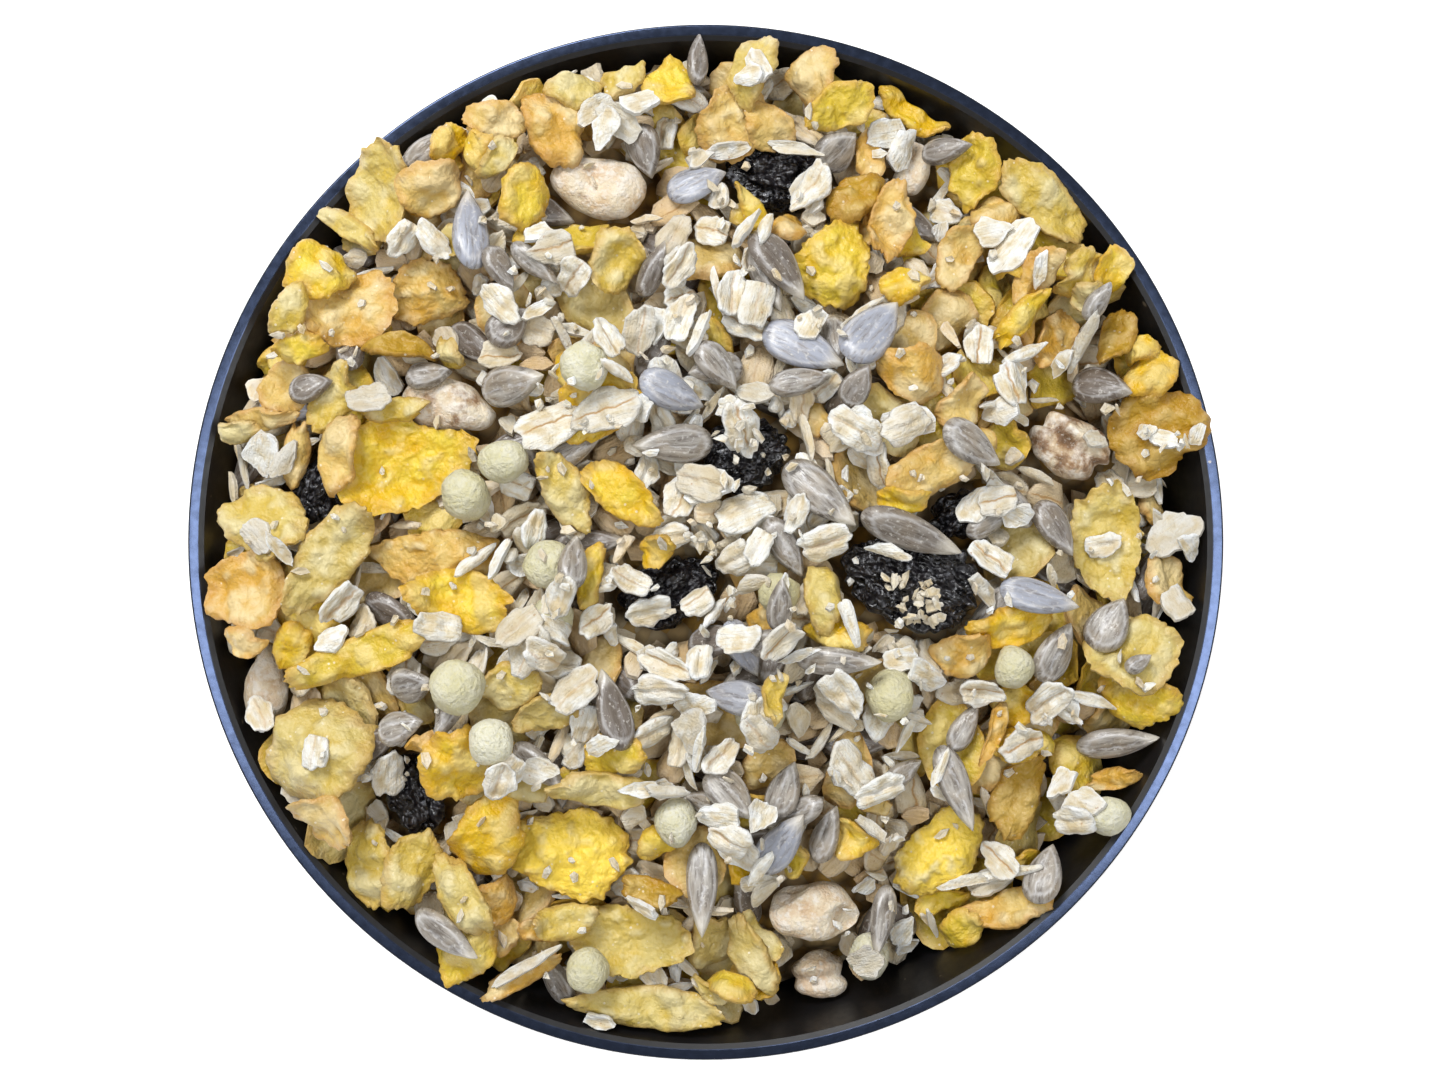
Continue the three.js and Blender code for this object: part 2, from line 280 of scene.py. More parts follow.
def broken_oat(length, width, rings, segments):
    """A piece broken off an oat, with straight broken sides."""
    corners = RNG.integers(3, 7)
    sides = np.sort(RNG.uniform(0, 2 * math.pi, corners)) + RNG.uniform(-0.2, 0.2)
    sides = 0.5 * sides + 0.5 * np.arange(corners) * 2 * math.pi / corners
    distances = RNG.uniform(0.62, 1.0, corners)
    ragged = harmonics({5: 0.03, 8: 0.03, 11: 0.03})
    thickness = RNG.uniform(0.5, 1.05)
    curl = RNG.uniform(-0.5, 0.6)
    offset = noise_place(2)
    slope = RNG.uniform(-0.3, 0.3)

    def surface(share, angle):
        facing = np.cos(angle[:, None] - sides[None])
        cuts = np.where(facing > 0.2, distances / np.maximum(facing, 0.2), 9.0)
        outline = np.minimum(cuts.min(1), 1.15) * (1 + ragged(angle))
        x = share * outline * np.cos(angle) * length / 2
        y = share * outline * np.sin(angle) * width / 2
        place = columns(x, y) + offset
        relief = noise(place * [0.7, 1.3], 0.8)
        middle = curl * (share * np.sin(angle)) ** 2 + slope * x / length + 0.14 * noise(place, 1.2)
        half = thickness / 2 * (1 - 0.3 * share**4)
        return x, y, middle + half + 0.13 * relief, middle - half, relief

    return plate(surface, rings, segments, max(length, width) / 2)


# The waves along a corn flake's edge: how many go round it, and how deep they are.
FLAKE_EDGE = {
    **{2: 0.04, 3: 0.045, 4: 0.03, 5: 0.022, 7: 0.018, 9: 0.016},
    **{12: 0.014, 16: 0.014, 22: 0.015, 29: 0.013},
}


def corn_flake(length, width, rings, segments):
    """A corn flake: a thin curled sheet with blisters, folds and a ragged edge."""
    bites = [(RNG.uniform(0, 2 * math.pi), RNG.uniform(0.0, 0.2)) for _ in range(2)]
    ragged = harmonics(FLAKE_EDGE)
    edge_curl = harmonics({1: 0.35, 2: 0.4, 3: 0.3, 5: 0.15, 8: 0.08})
    size = math.sqrt(length * width)
    bend = RNG.choice((-1, 1)) * RNG.uniform(0.03, 0.26) * size
    bend_angle = RNG.normal(0, 0.5)
    cup = RNG.uniform(-0.12, 0.1) * size
    thickness = RNG.uniform(0.9, 1.3)
    offset = noise_place(2)
    number = int(size * size / 4) + 3
    spots = RNG.uniform(-0.5, 0.5, (number, 2)) * [length, width]
    widths = RNG.uniform(0.45, 1.5, number)
    heights = widths * RNG.uniform(0.1, 0.42, number)
    fold_ranges = ((0, math.pi), (3.5, 7), (0, 6), (0.2, 0.5))
    folds = [[RNG.uniform(*ends) for ends in fold_ranges] for _ in range(3)]

    def surface(share, angle):
        torn = sum(depth * smooth_step(0.9, 1, np.cos(angle - at)) for at, depth in bites)
        outline = share * (1 + (ragged(angle) - torn) * smooth_step(0.2, 1, share))
        x = outline * np.cos(angle) * length / 2
        y = outline * np.sin(angle) * width / 2
        place = columns(x, y)
        along = (x * math.cos(bend_angle) + y * math.sin(bend_angle)) / (max(length, width) / 2)
        middle = bend * along**2 + cup * share**2
        for direction, step, phase, height in folds:
            wave = (x * math.cos(direction) + y * math.sin(direction)) * 2 * math.pi / step + phase
            middle = middle + height * (np.abs(np.sin(wave / 2)) - 0.6)
        middle = middle + 0.35 * noise(place + offset, 2.2) + edge_curl(angle) * smooth_step(0.55, 1, share)
        apart = ((place[:, None] - spots[None]) ** 2).sum(2)
        blisters = (heights * np.exp(-apart / widths**2)).sum(1)
        fine = 0.12 * noise(place + offset, 0.9)
        half = thickness / 2 * (0.35 + 0.65 * np.sqrt(1 - share**6))
        relief = blisters * 2.2 - 0.35 + 0.35 * noise(place + offset, 1.6)
        return x, y, middle + half + blisters + fine, middle - half + 0.5 * blisters + fine, relief

    return plate(surface, rings, segments, max(length, width) / 2)


def kernel(length, width, height, rings=7, segments=26):
    """A sunflower kernel: a flattened drop with a pointed end, a rim line and fine lengthwise ridges."""
    offset = noise_place(2)
    bow = RNG.uniform(-0.3, 0.5)
    dent = RNG.uniform(0.0, 0.3)

    def surface(share, angle):
        blunt = np.abs(np.sin(angle / 2)) ** 0.8
        x = share * (np.cos(angle) * 0.5 - 0.02) * length
        y = share * np.sin(angle) * blunt * width * 0.62
        place = columns(x, y)
        profile = np.sqrt(np.clip(1 - share**2.6, 0, 1))
        relief = noise((place + offset) * [0.3, 1.3], 0.9)
        ridges = 0.07 * relief - dent * np.exp(-((y / 0.4) ** 2)) * 0.6 * (1 - share)
        half = height / 2 * profile * (1 - 0.25 * x / length) + 0.12
        middle = bow * (x / length) ** 2 + 0.1 * noise(place + offset, 3)
        return x, y, middle + half + ridges, middle - half * 0.85, relief

    return plate(surface, rings, segments, length / 2)


def puff(size, subdivisions):
    """A round puff, a little squashed, with shallow dents."""
    verts, faces = BALLS[subdivisions]
    sizes = size * RNG.uniform(0.88, 1.1, 3)
    round_points = verts * sizes / 2
    relief = noise(round_points + noise_place(3), 1.7)
    dented = round_points + verts * (0.32 * relief)[:, None]
    shade = columns(np.full(len(verts), 0.5), relief)
    return Shape(dented, faces, shade, dented[verts[:, 2] > -0.1], dented[verts[:, 2] < 0.4])


# ---- The map of heights ----

CELL = 0.35
MAP_RADIUS = 68
NO_GROUND = -50.0
NO_CEILING = 1e3
HALF_CELLS = int(MAP_RADIUS / CELL)
CELLS = 2 * HALF_CELLS + 1
axis = (np.arange(CELLS) - HALF_CELLS) * CELL
GRID_X, GRID_Y = np.meshgrid(axis, axis, indexing="ij")
GRID_RADIUS = np.hypot(GRID_X, GRID_Y)
GRID_ANGLE = np.arctan2(GRID_Y, GRID_X)


def cells_at(x, y):
    """The cells of the map at these places."""
    i = np.clip(np.rint(x / CELL).astype(int) + HALF_CELLS, 0, CELLS - 1)
    j = np.clip(np.rint(y / CELL).astype(int) + HALF_CELLS, 0, CELLS - 1)
    return i, j


def search_tree(node):
    """A CAD node's mesh in millimetres, ready for rays."""
    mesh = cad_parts[node].data
    verts = [v.co / MM for v in mesh.vertices]
    return BVHTree.FromPolygons(verts, [p.vertices[:] for p in mesh.polygons])


def cast(tree, x, y, down=True, missing=np.nan):
    """The height at which a vertical line at x, y first meets a mesh, from above or from below."""
    start = Vector((x, y, 200.0 if down else -200.0))
    hit = tree.ray_cast(start, Vector((0, 0, -1.0 if down else 1.0)))[0]
    return missing if hit is None else hit.z


def wide_filter(field, reach, pick):
    """The largest or smallest value within reach of each cell, by pick, which is np.maximum or np.minimum."""
    out = field.copy()
    for _ in range(reach):
        grown = out.copy()
        for shift, over in ((1, 0), (-1, 0), (1, 1), (-1, 1)):
            grown = pick(grown, np.roll(out, shift, axis=over))
        out = grown
    return out


# The inside of the bowl, from its CAD mesh: its height at each radius.
bowl_tree = search_tree("bowl")
WALL_RADII = np.arange(0.01, RIM_RADIUS - 0.1, 0.25)
WALL_HEIGHTS = np.array([cast(bowl_tree, radius, 0.0) for radius in WALL_RADII])
WALL_HEIGHT = np.interp(GRID_RADIUS, WALL_RADII, WALL_HEIGHTS, right=NO_GROUND)


def wall_radius(height):
    """The radius of the inside of the bowl at a height."""
    inside = WALL_RADII < RIM_RADIUS - LIP_WIDTH - 0.1
    return np.interp(height, WALL_HEIGHTS[inside], WALL_RADII[inside])


# The top of the heap, from its CAD mesh, with the pockets for the toppings filled in.
COARSE_STEP = 1.4
COARSE_REACH = 66.5
heap_tree = search_tree("granola_heap")
coarse_axis = np.arange(-COARSE_REACH, COARSE_REACH + 0.1, COARSE_STEP)
POCKET_CELLS = 7
coarse_top = np.array([[cast(heap_tree, x, y, missing=0.0) for y in coarse_axis] for x in coarse_axis])
coarse_top = wide_filter(coarse_top, POCKET_CELLS, np.maximum)
coarse_top = wide_filter(coarse_top, POCKET_CELLS, np.minimum)


def resample(field, x, y):
    """A value of the coarse grid between its points."""
    i = (x - coarse_axis[0]) / COARSE_STEP
    j = (y - coarse_axis[0]) / COARSE_STEP
    i0 = np.clip(np.floor(i).astype(int), 0, len(field) - 2)
    j0 = np.clip(np.floor(j).astype(int), 0, len(field) - 2)
    a, b = np.clip(i - i0, 0, 1), np.clip(j - j0, 0, 1)
    low = field[i0, j0] * (1 - b) + field[i0, j0 + 1] * b
    high = field[i0 + 1, j0] * (1 - b) + field[i0 + 1, j0 + 1] * b
    return low * (1 - a) + high * a


EDGE_RADIUS = 59.5  # of the circle within which the heap's top is read, just inside its uneven edge
EDGE_SLOPE = 0.5  # of the heap's top beyond that circle
ring_x = EDGE_RADIUS * np.cos(GRID_ANGLE)
ring_y = EDGE_RADIUS * np.sin(GRID_ANGLE)
beyond = GRID_RADIUS > EDGE_RADIUS
HEAP_TOP = resample(coarse_top, np.where(beyond, ring_x, GRID_X), np.where(beyond, ring_y, GRID_Y))
HEAP_TOP = HEAP_TOP - np.clip(GRID_RADIUS - EDGE_RADIUS, 0, 5) * EDGE_SLOPE

CORE_DEPTH = 6.0
CORE_GAP = 0.7  # between the core and the wall
CORE_TOP = HEAP_TOP - CORE_DEPTH
ground = np.maximum(CORE_TOP, WALL_HEIGHT)
ground[GRID_RADIUS > RIM_RADIUS] = NO_GROUND
ceiling = np.full((CELLS, CELLS), NO_CEILING)

# ---- Settling ----

# The slopes that are tried, as shares of the steepest: a coarse grid, and a finer one around the best of it.
DIRECTIONS = np.array([(a, b) for a in np.linspace(-1, 1, 7) for b in np.linspace(-1, 1, 7)])
NEARBY = np.array([(a, b) for a in (-1, -0.5, 0, 0.5, 1) for b in (-1, -0.5, 0, 0.5, 1)])
SINK = 0.14  # how far a piece may sink into what it lies on
SPARED = 40  # one in so many of its points may sink in deeper
MOST_OVERHANG = 1.5  # past the rim
pieces = {}


def turned(angle):
    """A turn about the upright axis."""
    c, s = math.cos(angle), math.sin(angle)
    return np.array([[c, -s, 0], [s, c, 0], [0, 0, 1.0]])


def tilted(slope_x, slope_y):
    """The smallest turn that brings a level plane to these slopes."""
    normal = np.array([-slope_x, -slope_y, 1.0])
    normal /= np.linalg.norm(normal)
    w = np.array([-normal[1], normal[0], 0.0])
    cross = np.array([[0, -w[2], w[1]], [w[2], 0, -w[0]], [-w[1], w[0], 0]])
    return np.eye(3) + cross + cross @ cross / (1 + normal[2])


def settle(shape, x, y, turn, steepest=0.65, lean=(0.0, 0.0)):
    """The turn and place in which a shape rests at x, y: its middle as low as the ground below allows.

    lean adds a slope of its own, for a piece that props itself up."""
    low = shape.lower @ turned(turn).T
    level = ground[cells_at(x + low[:, 0], y + low[:, 1])] - low[:, 2]
    slopes = DIRECTIONS * steepest
    best = slopes[(level[None] - slopes @ low[:, :2].T).max(1).argmin()]
    for step in (steepest / 4, steepest / 10):
        near = np.clip(best + NEARBY * step, -steepest, steepest)
        best = near[(level[None] - near @ low[:, :2].T).max(1).argmin()]
    turn_all = tilted(*(best + lean)) @ turned(turn)
    low = shape.lower @ turn_all.T
    needed = ground[cells_at(x + low[:, 0], y + low[:, 1])] - low[:, 2]
    height = np.sort(needed)[-1 - len(needed) // SPARED] - SINK
    return turn_all, np.array([x, y, height])


# How far the food reaches from the rim's middle, in pixels, every EDGE_STEP degrees anticlockwise from +X.
EDGE_STEP = 30
EDGE_PIXELS = (470, 500, 498, 490, 492, 484, 488, 505, 508, 490, 492, 502, 470)


def put(kind, shape, turn_all, place, tone, checked=True):
    """Keeps a settled piece and raises the ground to its upper side.

    A checked one is left out if it would poke through the ceiling, or past the edge of the food."""
    upper = shape.upper @ turn_all.T + place
    i, j = cells_at(upper[:, 0], upper[:, 1])
    apart = np.hypot(upper[:, 0], upper[:, 1]).max()
    if checked:
        direction = math.degrees(math.atan2(place[1], place[0])) % 360
        edge = np.interp(direction, np.arange(0, 361, EDGE_STEP), EDGE_PIXELS) / PIXELS_PER_MM
        if apart > edge or (upper[:, 2] > ceiling[i, j]).any():
            return
    if apart > RIM_RADIUS + MOST_OVERHANG:
        return
    np.maximum.at(ground, (i, j), upper[:, 2])
    pieces.setdefault(kind, []).append((shape, turn_all, place, tone))


# ---- Meshes ----


def new_mesh(name, verts, faces, smooth=True):
    """A mesh object in metres from vertices in millimetres and triangles."""
    mesh = bpy.data.meshes.new(name)
    mesh.vertices.add(len(verts))
    mesh.vertices.foreach_set("co", (verts * MM).astype(np.float32).ravel())
    mesh.loops.add(faces.size)
    mesh.loops.foreach_set("vertex_index", faces.astype(np.int32).ravel())
    mesh.polygons.add(len(faces))
    mesh.polygons.foreach_set("loop_start", np.arange(0, faces.size, 3, dtype=np.int32))
    mesh.polygons.foreach_set("use_smooth", np.full(len(faces), smooth))
    mesh.update(calc_edges=True)
    ob = bpy.data.objects.new(name, mesh)
    bpy.context.scene.collection.objects.link(ob)
    return ob


def keep_values(ob, **values):
    """Stores what the material reads, for each vertex, as vectors."""
    for name, value in values.items():
        layer = ob.data.attributes.new(name, "FLOAT_VECTOR", "POINT")
        layer.data.foreach_set("vector", value.astype(np.float32).ravel())


def joined(name, items):
    """One object from many placed shapes. Each has its own tile of the map that a bake may use."""
    verts, faces, grain, shade, uvs = [], [], [], [], []
    tiles = math.ceil(math.sqrt(len(items) * 2) / 2) * 2
    first = 0
    for number, (shape, turn_all, place, tone) in enumerate(items):
        verts.append(shape.verts @ turn_all.T + place)
        faces.append(shape.faces + first)
        grain.append(shape.verts + noise_place(3, GRAIN_REACH) * [0, 0, 1])
        shade.append(np.column_stack([shape.shade, np.full(len(shape.verts), tone)]))
        row, column = divmod(number, tiles // 2)
        uvs.append((shape.uv * [2, 1] + [column * 2, row]) / tiles)
        first += len(shape.verts)
    ob = new_mesh(name, np.vstack(verts), np.vstack(faces), smooth=not name.endswith("crumbs"))
    if name.endswith(("broken_oats", "flakes")):
        ob.data.set_sharp_from_angle(angle=math.radians(50))
    keep_values(ob, grain=np.vstack(grain), shade=np.vstack(shade))
    layer = ob.data.uv_layers.new(name=UV_NAME)
    layer.uv.foreach_set("vector", np.concatenate(uvs).astype(np.float32).ravel())
    return ob


def refined(node, levels):
    """A CAD node's mesh with its corners merged and rounded off: vertices, their normals, and triangles."""
    bm = bmesh.new()
    bm.from_mesh(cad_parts[node].data)
    bmesh.ops.remove_doubles(bm, verts=bm.verts, dist=1e-6)
    mesh = bpy.data.meshes.new("cage")
    bm.to_mesh(mesh)
    bm.free()
    cage = bpy.data.objects.new("cage", mesh)
    bpy.context.scene.collection.objects.link(cage)
    modifier = cage.modifiers.new("round", "SUBSURF")
    modifier.levels = levels
    smooth = cage.evaluated_get(bpy.context.evaluated_depsgraph_get()).to_mesh()
    smooth.calc_loop_triangles()
    verts = np.empty(len(smooth.vertices) * 3)
    smooth.vertices.foreach_get("co", verts)
    normals = np.empty(len(smooth.vertices) * 3)
    smooth.vertices.foreach_get("normal", normals)
    faces = np.empty(len(smooth.loop_triangles) * 3, int)
    smooth.loop_triangles.foreach_get("vertices", faces)
    bpy.data.objects.remove(cage)
    bpy.data.meshes.remove(mesh)
    return verts.reshape(-1, 3) / MM, normals.reshape(-1, 3), faces.reshape(-1, 3)


def own_axes(verts):
    """A body's long, middle and short axes, the short one pointing up, and its points along them."""
    centred = verts - (verts.min(0) + verts.max(0)) / 2
    _, vectors = np.linalg.eigh(np.cov(centred.T))
    axes = vectors[:, ::-1].copy()
    if axes[2, 2] < 0:
        axes[:, 2] *= -1
    if np.linalg.det(axes) < 0:
        axes[:, 1] *= -1
    return axes, centred @ axes


def node_shape(node, levels):
    """A CAD node's rounded mesh, its own axes, its points along them, and a random place for its grain."""
    mesh = refined(node, levels)
    return *mesh, *own_axes(mesh[0]), noise_place(3, GRAIN_REACH)


def raise_ground(verts):
    """Makes a node's piece part of what others settle on."""
    np.maximum.at(ground, cells_at(verts[:, 0], verts[:, 1]), verts[:, 2])


# ---- Materials ----


class Tree:
    """A material's node tree, with short ways to add nodes to it. body is its colour so far."""

    def __init__(self, name):
        self.material = bpy.data.materials.new(name)
        self.material.use_nodes = True
        self.nodes = self.material.node_tree.nodes
        self.links = self.material.node_tree.links
        self.shader = self.nodes["Principled BSDF"]

    def add(self, kind, inputs=None, **settings):
        node = self.nodes.new("ShaderNode" + kind)
        for key, value in settings.items():
            setattr(node, key, value)
        for key, value in (inputs or {}).items():
            self.set(node.inputs[key], value)
        return node

    def set(self, socket, value):
        if isinstance(value, bpy.types.NodeSocket):
            self.links.new(value, socket)
        else:
            socket.default_value = value

    def stored(self, name):
        """The vector that keep_values stored under a name."""
        return self.add("Attribute", attribute_name=name, attribute_type="GEOMETRY").outputs["Vector"]

    def numbers(self, vector):
        return self.add("SeparateXYZ", {"Vector": vector}).outputs

    def noise(self, vector, scale, detail=3.0, stretch=None, roughness=0.55):
        if stretch:
            vector = self.add("VectorMath", {0: vector, 1: stretch}, operation="MULTIPLY").outputs[0]
        inputs = {"Vector": vector, "Scale": scale, "Detail": detail, "Roughness": roughness}
        return self.add("TexNoise", inputs).outputs["Fac"]

    def cells(self, vector, scale, **settings):
        return self.add("TexVoronoi", {"Vector": vector, "Scale": scale}, **settings).outputs["Distance"]

    def math(self, operation, a, b=0.0, clamp=False):
        return self.add("Math", {0: a, 1: b}, operation=operation, use_clamp=clamp).outputs[0]

    def plus(self, a, b, clamp=False):
        return self.math("ADD", a, b, clamp)

    def times(self, a, b):
        return self.math("MULTIPLY", a, b)

    def drawn(self, tone, factor):
        """Another number from 0 to 1 for each piece, worked out from its tone."""
        return self.math("FRACT", self.times(tone, factor))

    def ramp(self, value, low, high, to_low=0.0, to_high=1.0):
        inputs = {"Value": value, "From Min": low, "From Max": high, "To Min": to_low, "To Max": to_high}
        return self.add("MapRange", inputs).outputs["Result"]

    def mix(self, share, a, b):
        node = self.add("Mix", data_type="RGBA")
        self.set(node.inputs[0], share)
        self.set(node.inputs[6], a)
        self.set(node.inputs[7], b)
        return node.outputs[2]

    def cover(self, share, red, green, blue):
        """Lays a share of a colour over the body."""
        self.body = self.mix(share, self.body, colour(red, green, blue))

    def tint(self, value, low, high, most, *rgb):
        """Lays a colour over the body: none of it where the value is low, and most of it where it is high."""
        self.cover(self.ramp(value, low, high, 0, most), *rgb)

    def bump(self, height, distance, strength=1.0):
        inputs = {"Height": height, "Distance": distance * MM, "Strength": strength}
        self.links.new(self.add("Bump", inputs).outputs[0], self.shader.inputs["Normal"])

    def finish(self, **inputs):
        for name, value in {"Base_Color": self.body, **inputs}.items():
            self.set(self.shader.inputs[name.replace("_", " ")], value)
        return self.material


def colour(red, green, blue):
    """A colour given as it looks on a screen, from 0 to 255."""
    linear = [
        c / 12.92 if c <= 0.04045 else ((c + 0.055) / 1.055) ** 2.4
        for c in (red / 255, green / 255, blue / 255)
    ]
    return (*linear, 1.0)


def piece_tree(name):
    """A tree for loose pieces, with what keep_values stored: the grain, and the shade's three numbers."""
    tree = Tree(name)
    return tree, tree.stored("grain"), tree.numbers(tree.stored("shade"))


def oat_material(name, creased):
    """Cream oats with floury patches, a fine grain along them and a tan crease."""
    tree, grain, (share, relief, tone) = piece_tree(name)
    patches = tree.ramp(tree.noise(grain, 0.7, 4), 0.37, 0.6)
    fibres = tree.noise(grain, 1.3, 4, stretch=(0.35, 2.6, 1.0))
    tree.body = tree.mix(patches, colour(229, 219, 194), colour(245, 244, 237))
    tree.tint(fibres, 0.48, 0.64, 0.5, 214, 192, 142)
    tree.tint(tree.noise(grain, 0.3, 3), 0.46, 0.6, 0.65, 208, 184, 134)  # clear of flour
    flour = tree.plus(tree.ramp(relief, -0.1, 0.7, 0, 0.7), tree.ramp(share, 0.78, 1.0, 0, 0.6), clamp=True)
    tree.cover(flour, 245, 247, 247)
    tree.tint(tree.drawn(tone, 5.3), 0.6, 1.0, 0.6, 196, 186, 166)  # dull
    tree.tint(tone, 0.6, 0.9, 0.5, 214, 194, 152)
    tree.tint(tone, 0.25, 0.06, 0.5, 226, 196, 140)
    # Painted shade: oats of the deep layer, whose tones are above 1, are browner and darker.
    tree.tint(tone, 1.0, 2.0, 0.7, 210, 172, 116)
    if creased:
        wobble = tree.ramp(tree.noise(grain, 0.4, 3), 0, 1, -0.8, 0.8)
        shift = tree.ramp(tree.drawn(tone, 13.7), 0, 1, -0.35, 0.35)
        strength = tree.ramp(tree.drawn(tone, 7.3), 0.2, 0.9, 0.05, 0.95)
        across = tree.numbers(grain)["Y"]
        off_line = tree.math("ABSOLUTE", tree.plus(tree.plus(across, shift), wobble))
        line = tree.ramp(off_line, 0.03, 0.24, 1, 0)
        line = tree.times(line, tree.ramp(share, 0.7, 1.0, 1.0, 0.2))
        line = tree.times(line, strength)
        tree.cover(line, 184, 144, 92)
    tree.tint(tree.noise(grain, 1.6, 2), 0.70, 0.76, 0.6, 176, 128, 82)  # specks
    tree.bump(tree.plus(fibres, tree.noise(grain, 3, 3)), 0.26, 0.9)
    return tree.finish(Roughness=tree.ramp(patches, 0, 1, 0.62, 0.8), Specular_IOR_Level=0.3)


def flake_material(name, deep, plain, toasted, blister, roughness):
    """Corn flakes: deep yellow in the hollows, paler blisters, and a toasted edge."""
    tree, grain, (share, relief, tone) = piece_tree(name)
    cloud = tree.noise(grain, 0.28, 3)
    fine = tree.noise(grain, 2.2, 4)
    warped = tree.noise(grain, 0.8, 2)
    bubbles = tree.cells(grain, 0.75, feature="SMOOTH_F1")
    bubbles = tree.ramp(tree.plus(bubbles, tree.ramp(warped, 0, 1, -0.3, 0.3)), 0.0, 0.7, 1, 0)
    faded = tree.ramp(tree.plus(cloud, tree.times(tone, 0.3)), 0.5, 0.8)
    tree.body = tree.mix(faded, colour(*deep), colour(*plain))
    tree.tint(tone, 0.0, -1.0, 1.0, 255, 222, 84)
    # Darker flakes at random, and painted shade on flakes of the deep layer, whose tones are above 1.
    tree.tint(tone, 0.7, 1.0, 0.3, 146, 108, 34)
    raised = tree.plus(relief, tree.ramp(bubbles, 0, 1, -0.35, 0.45))
    tree.tint(raised, -0.05, 0.7, 0.7, *blister)
    edge = tree.plus(share, tree.ramp(tree.noise(grain, 0.5, 3), 0, 1, -0.35, 0.35))
    tree.tint(edge, 0.72, 1.05, 0.7, *toasted)
    tree.tint(fine, 0.52, 0.72, 0.22, *blister)
    crumbs = tree.ramp(tree.cells(grain, 0.9), 0.12, 0.17, 0.6, 0.0)
    scarce = tree.ramp(tree.noise(grain, 0.4, 1), 0.5, 0.62)
    tree.cover(tree.times(crumbs, scarce), 244, 236, 214)
    grit = tree.cells(grain, 1.6)
    rough_skin = tree.plus(fine, tree.times(grit, -0.5))
    tree.bump(tree.plus(rough_skin, tree.times(bubbles, 1.4)), 0.22, 0.85)
    rough = tree.ramp(fine, 0.3, 0.7, roughness - 0.1, roughness + 0.1)
    return tree.finish(Roughness=rough, Specular_IOR_Level=0.5)


def kernel_material():
    """Sunflower kernels: grey beige with fine streaks along them, a paler rim and tip, and a low sheen."""
    tree, grain, (share, _, tone) = piece_tree("kernels")
    along, across, _ = tree.numbers(grain)
    streaks = tree.noise(grain, 1.1, 5, stretch=(0.35, 1.9, 1.0))
    cloud = tree.noise(grain, 0.35, 2)
    tree.body = tree.mix(tree.ramp(streaks, 0.38, 0.62), colour(118, 110, 102), colour(172, 166, 158))
    tree.tint(cloud, 0.46, 0.68, 0.55, 166, 150, 128)
    silver = tree.times(tree.ramp(tone, 0.14, 0.05), tree.ramp(streaks, 0.36, 0.56, 0.4, 0.9))
    tree.cover(silver, 166, 171, 186)
    # Darker brown-grey kernels at random. Those of the deep layer, whose tones are above 1, are darkest, as
    # painted shade.
    tree.tint(tone, 0.4, 1.0, 0.85, 98, 86, 76)
    # A pale line along the kernel: partly scuffs and partly a painted highlight, with less of it on darker
    # kernels.
    wobble = tree.ramp(tree.noise(grain, 0.35, 3), 0, 1, -1.7, 1.7)
    scuff_and_highlight = tree.ramp(tree.math("ABSOLUTE", tree.plus(across, wobble)), 0.02, 0.26, 0.4, 0)
    scuff_and_highlight = tree.times(scuff_and_highlight, tree.ramp(tree.noise(grain, 0.8, 3), 0.34, 0.56))
    scuff_and_highlight = tree.times(scuff_and_highlight, tree.ramp(tone, 0.5, 0.8, 1.0, 0.4))
    tree.cover(scuff_and_highlight, 234, 234, 238)
    rim = tree.math("ABSOLUTE", tree.math("SUBTRACT", share, tree.ramp(streaks, 0.3, 0.7, 0.74, 0.86)))
    tree.cover(tree.ramp(rim, 0.01, 0.09, 0.4, 0), 222, 220, 220)
    tree.tint(along, 2.4, 4.4, 0.75, 226, 218, 202)
    tree.tint(tree.noise(grain, 2.2, 4), 0.58, 0.72, 0.6, 228, 224, 216)  # dust
    tree.bump(streaks, 0.2, 0.8)
    return tree.finish(Roughness=tree.ramp(streaks, 0.3, 0.7, 0.24, 0.36), Specular_IOR_Level=0.8)


def puff_material():
    """Pale yellow puffs with small pores."""
    tree, grain, (_, _, tone) = piece_tree("puffs")
    pores = tree.noise(grain, 2.4, 4)
    cloud = tree.noise(grain, 0.5, 2)
    tree.body = tree.mix(tree.ramp(cloud, 0.35, 0.65), colour(212, 207, 174), colour(226, 223, 204))
    tree.tint(tone, 0.5, 0.0, 0.6, 206, 196, 140)
    tree.tint(tone, 0.5, 1.0, 0.6, 238, 235, 216)
    # Painted shade: darker yellow in the pores, the hollows of the bump.
    tree.cover(tree.ramp(pores, 0.36, 0.48, 0.4, 0), 214, 204, 144)
    pits = tree.ramp(tree.cells(grain, 0.9), 0.05, 0.6, 0, 0.4)
    tree.bump(tree.plus(pores, pits), 0.4, 0.9)
    return tree.finish(Roughness=0.72, Specular_IOR_Level=0.3)


def raisin_material():
    """Near-black purple skin, wrinkled, with patches of oat dust."""
    tree, grain, _ = piece_tree("raisins")
    skin = tree.noise(grain, 0.7, 3)
    tree.body = tree.mix(tree.ramp(skin, 0.35, 0.7), colour(9, 8, 11), colour(30, 26, 30))
    patches = tree.ramp(tree.noise(grain, 0.45, 3), 0.42, 0.6, 0.25, 1.0)
    dust = tree.times(tree.ramp(tree.noise(grain, 2.1, 5), 0.53, 0.64), patches)
    tree.cover(tree.times(dust, 0.55), 150, 152, 160)
    folded = tree.noise(grain, 0.5, 2, stretch=(0.5, 1.0, 1.0))
    fold = tree.math("ABSOLUTE", tree.math("SUBTRACT", folded, 0.5))
    tree.bump(tree.plus(tree.times(fold, 4.0), skin), 0.9, 1.0)
    return tree.finish(Roughness=tree.ramp(skin, 0.3, 0.7, 0.22, 0.36), Specular_IOR_Level=0.65)


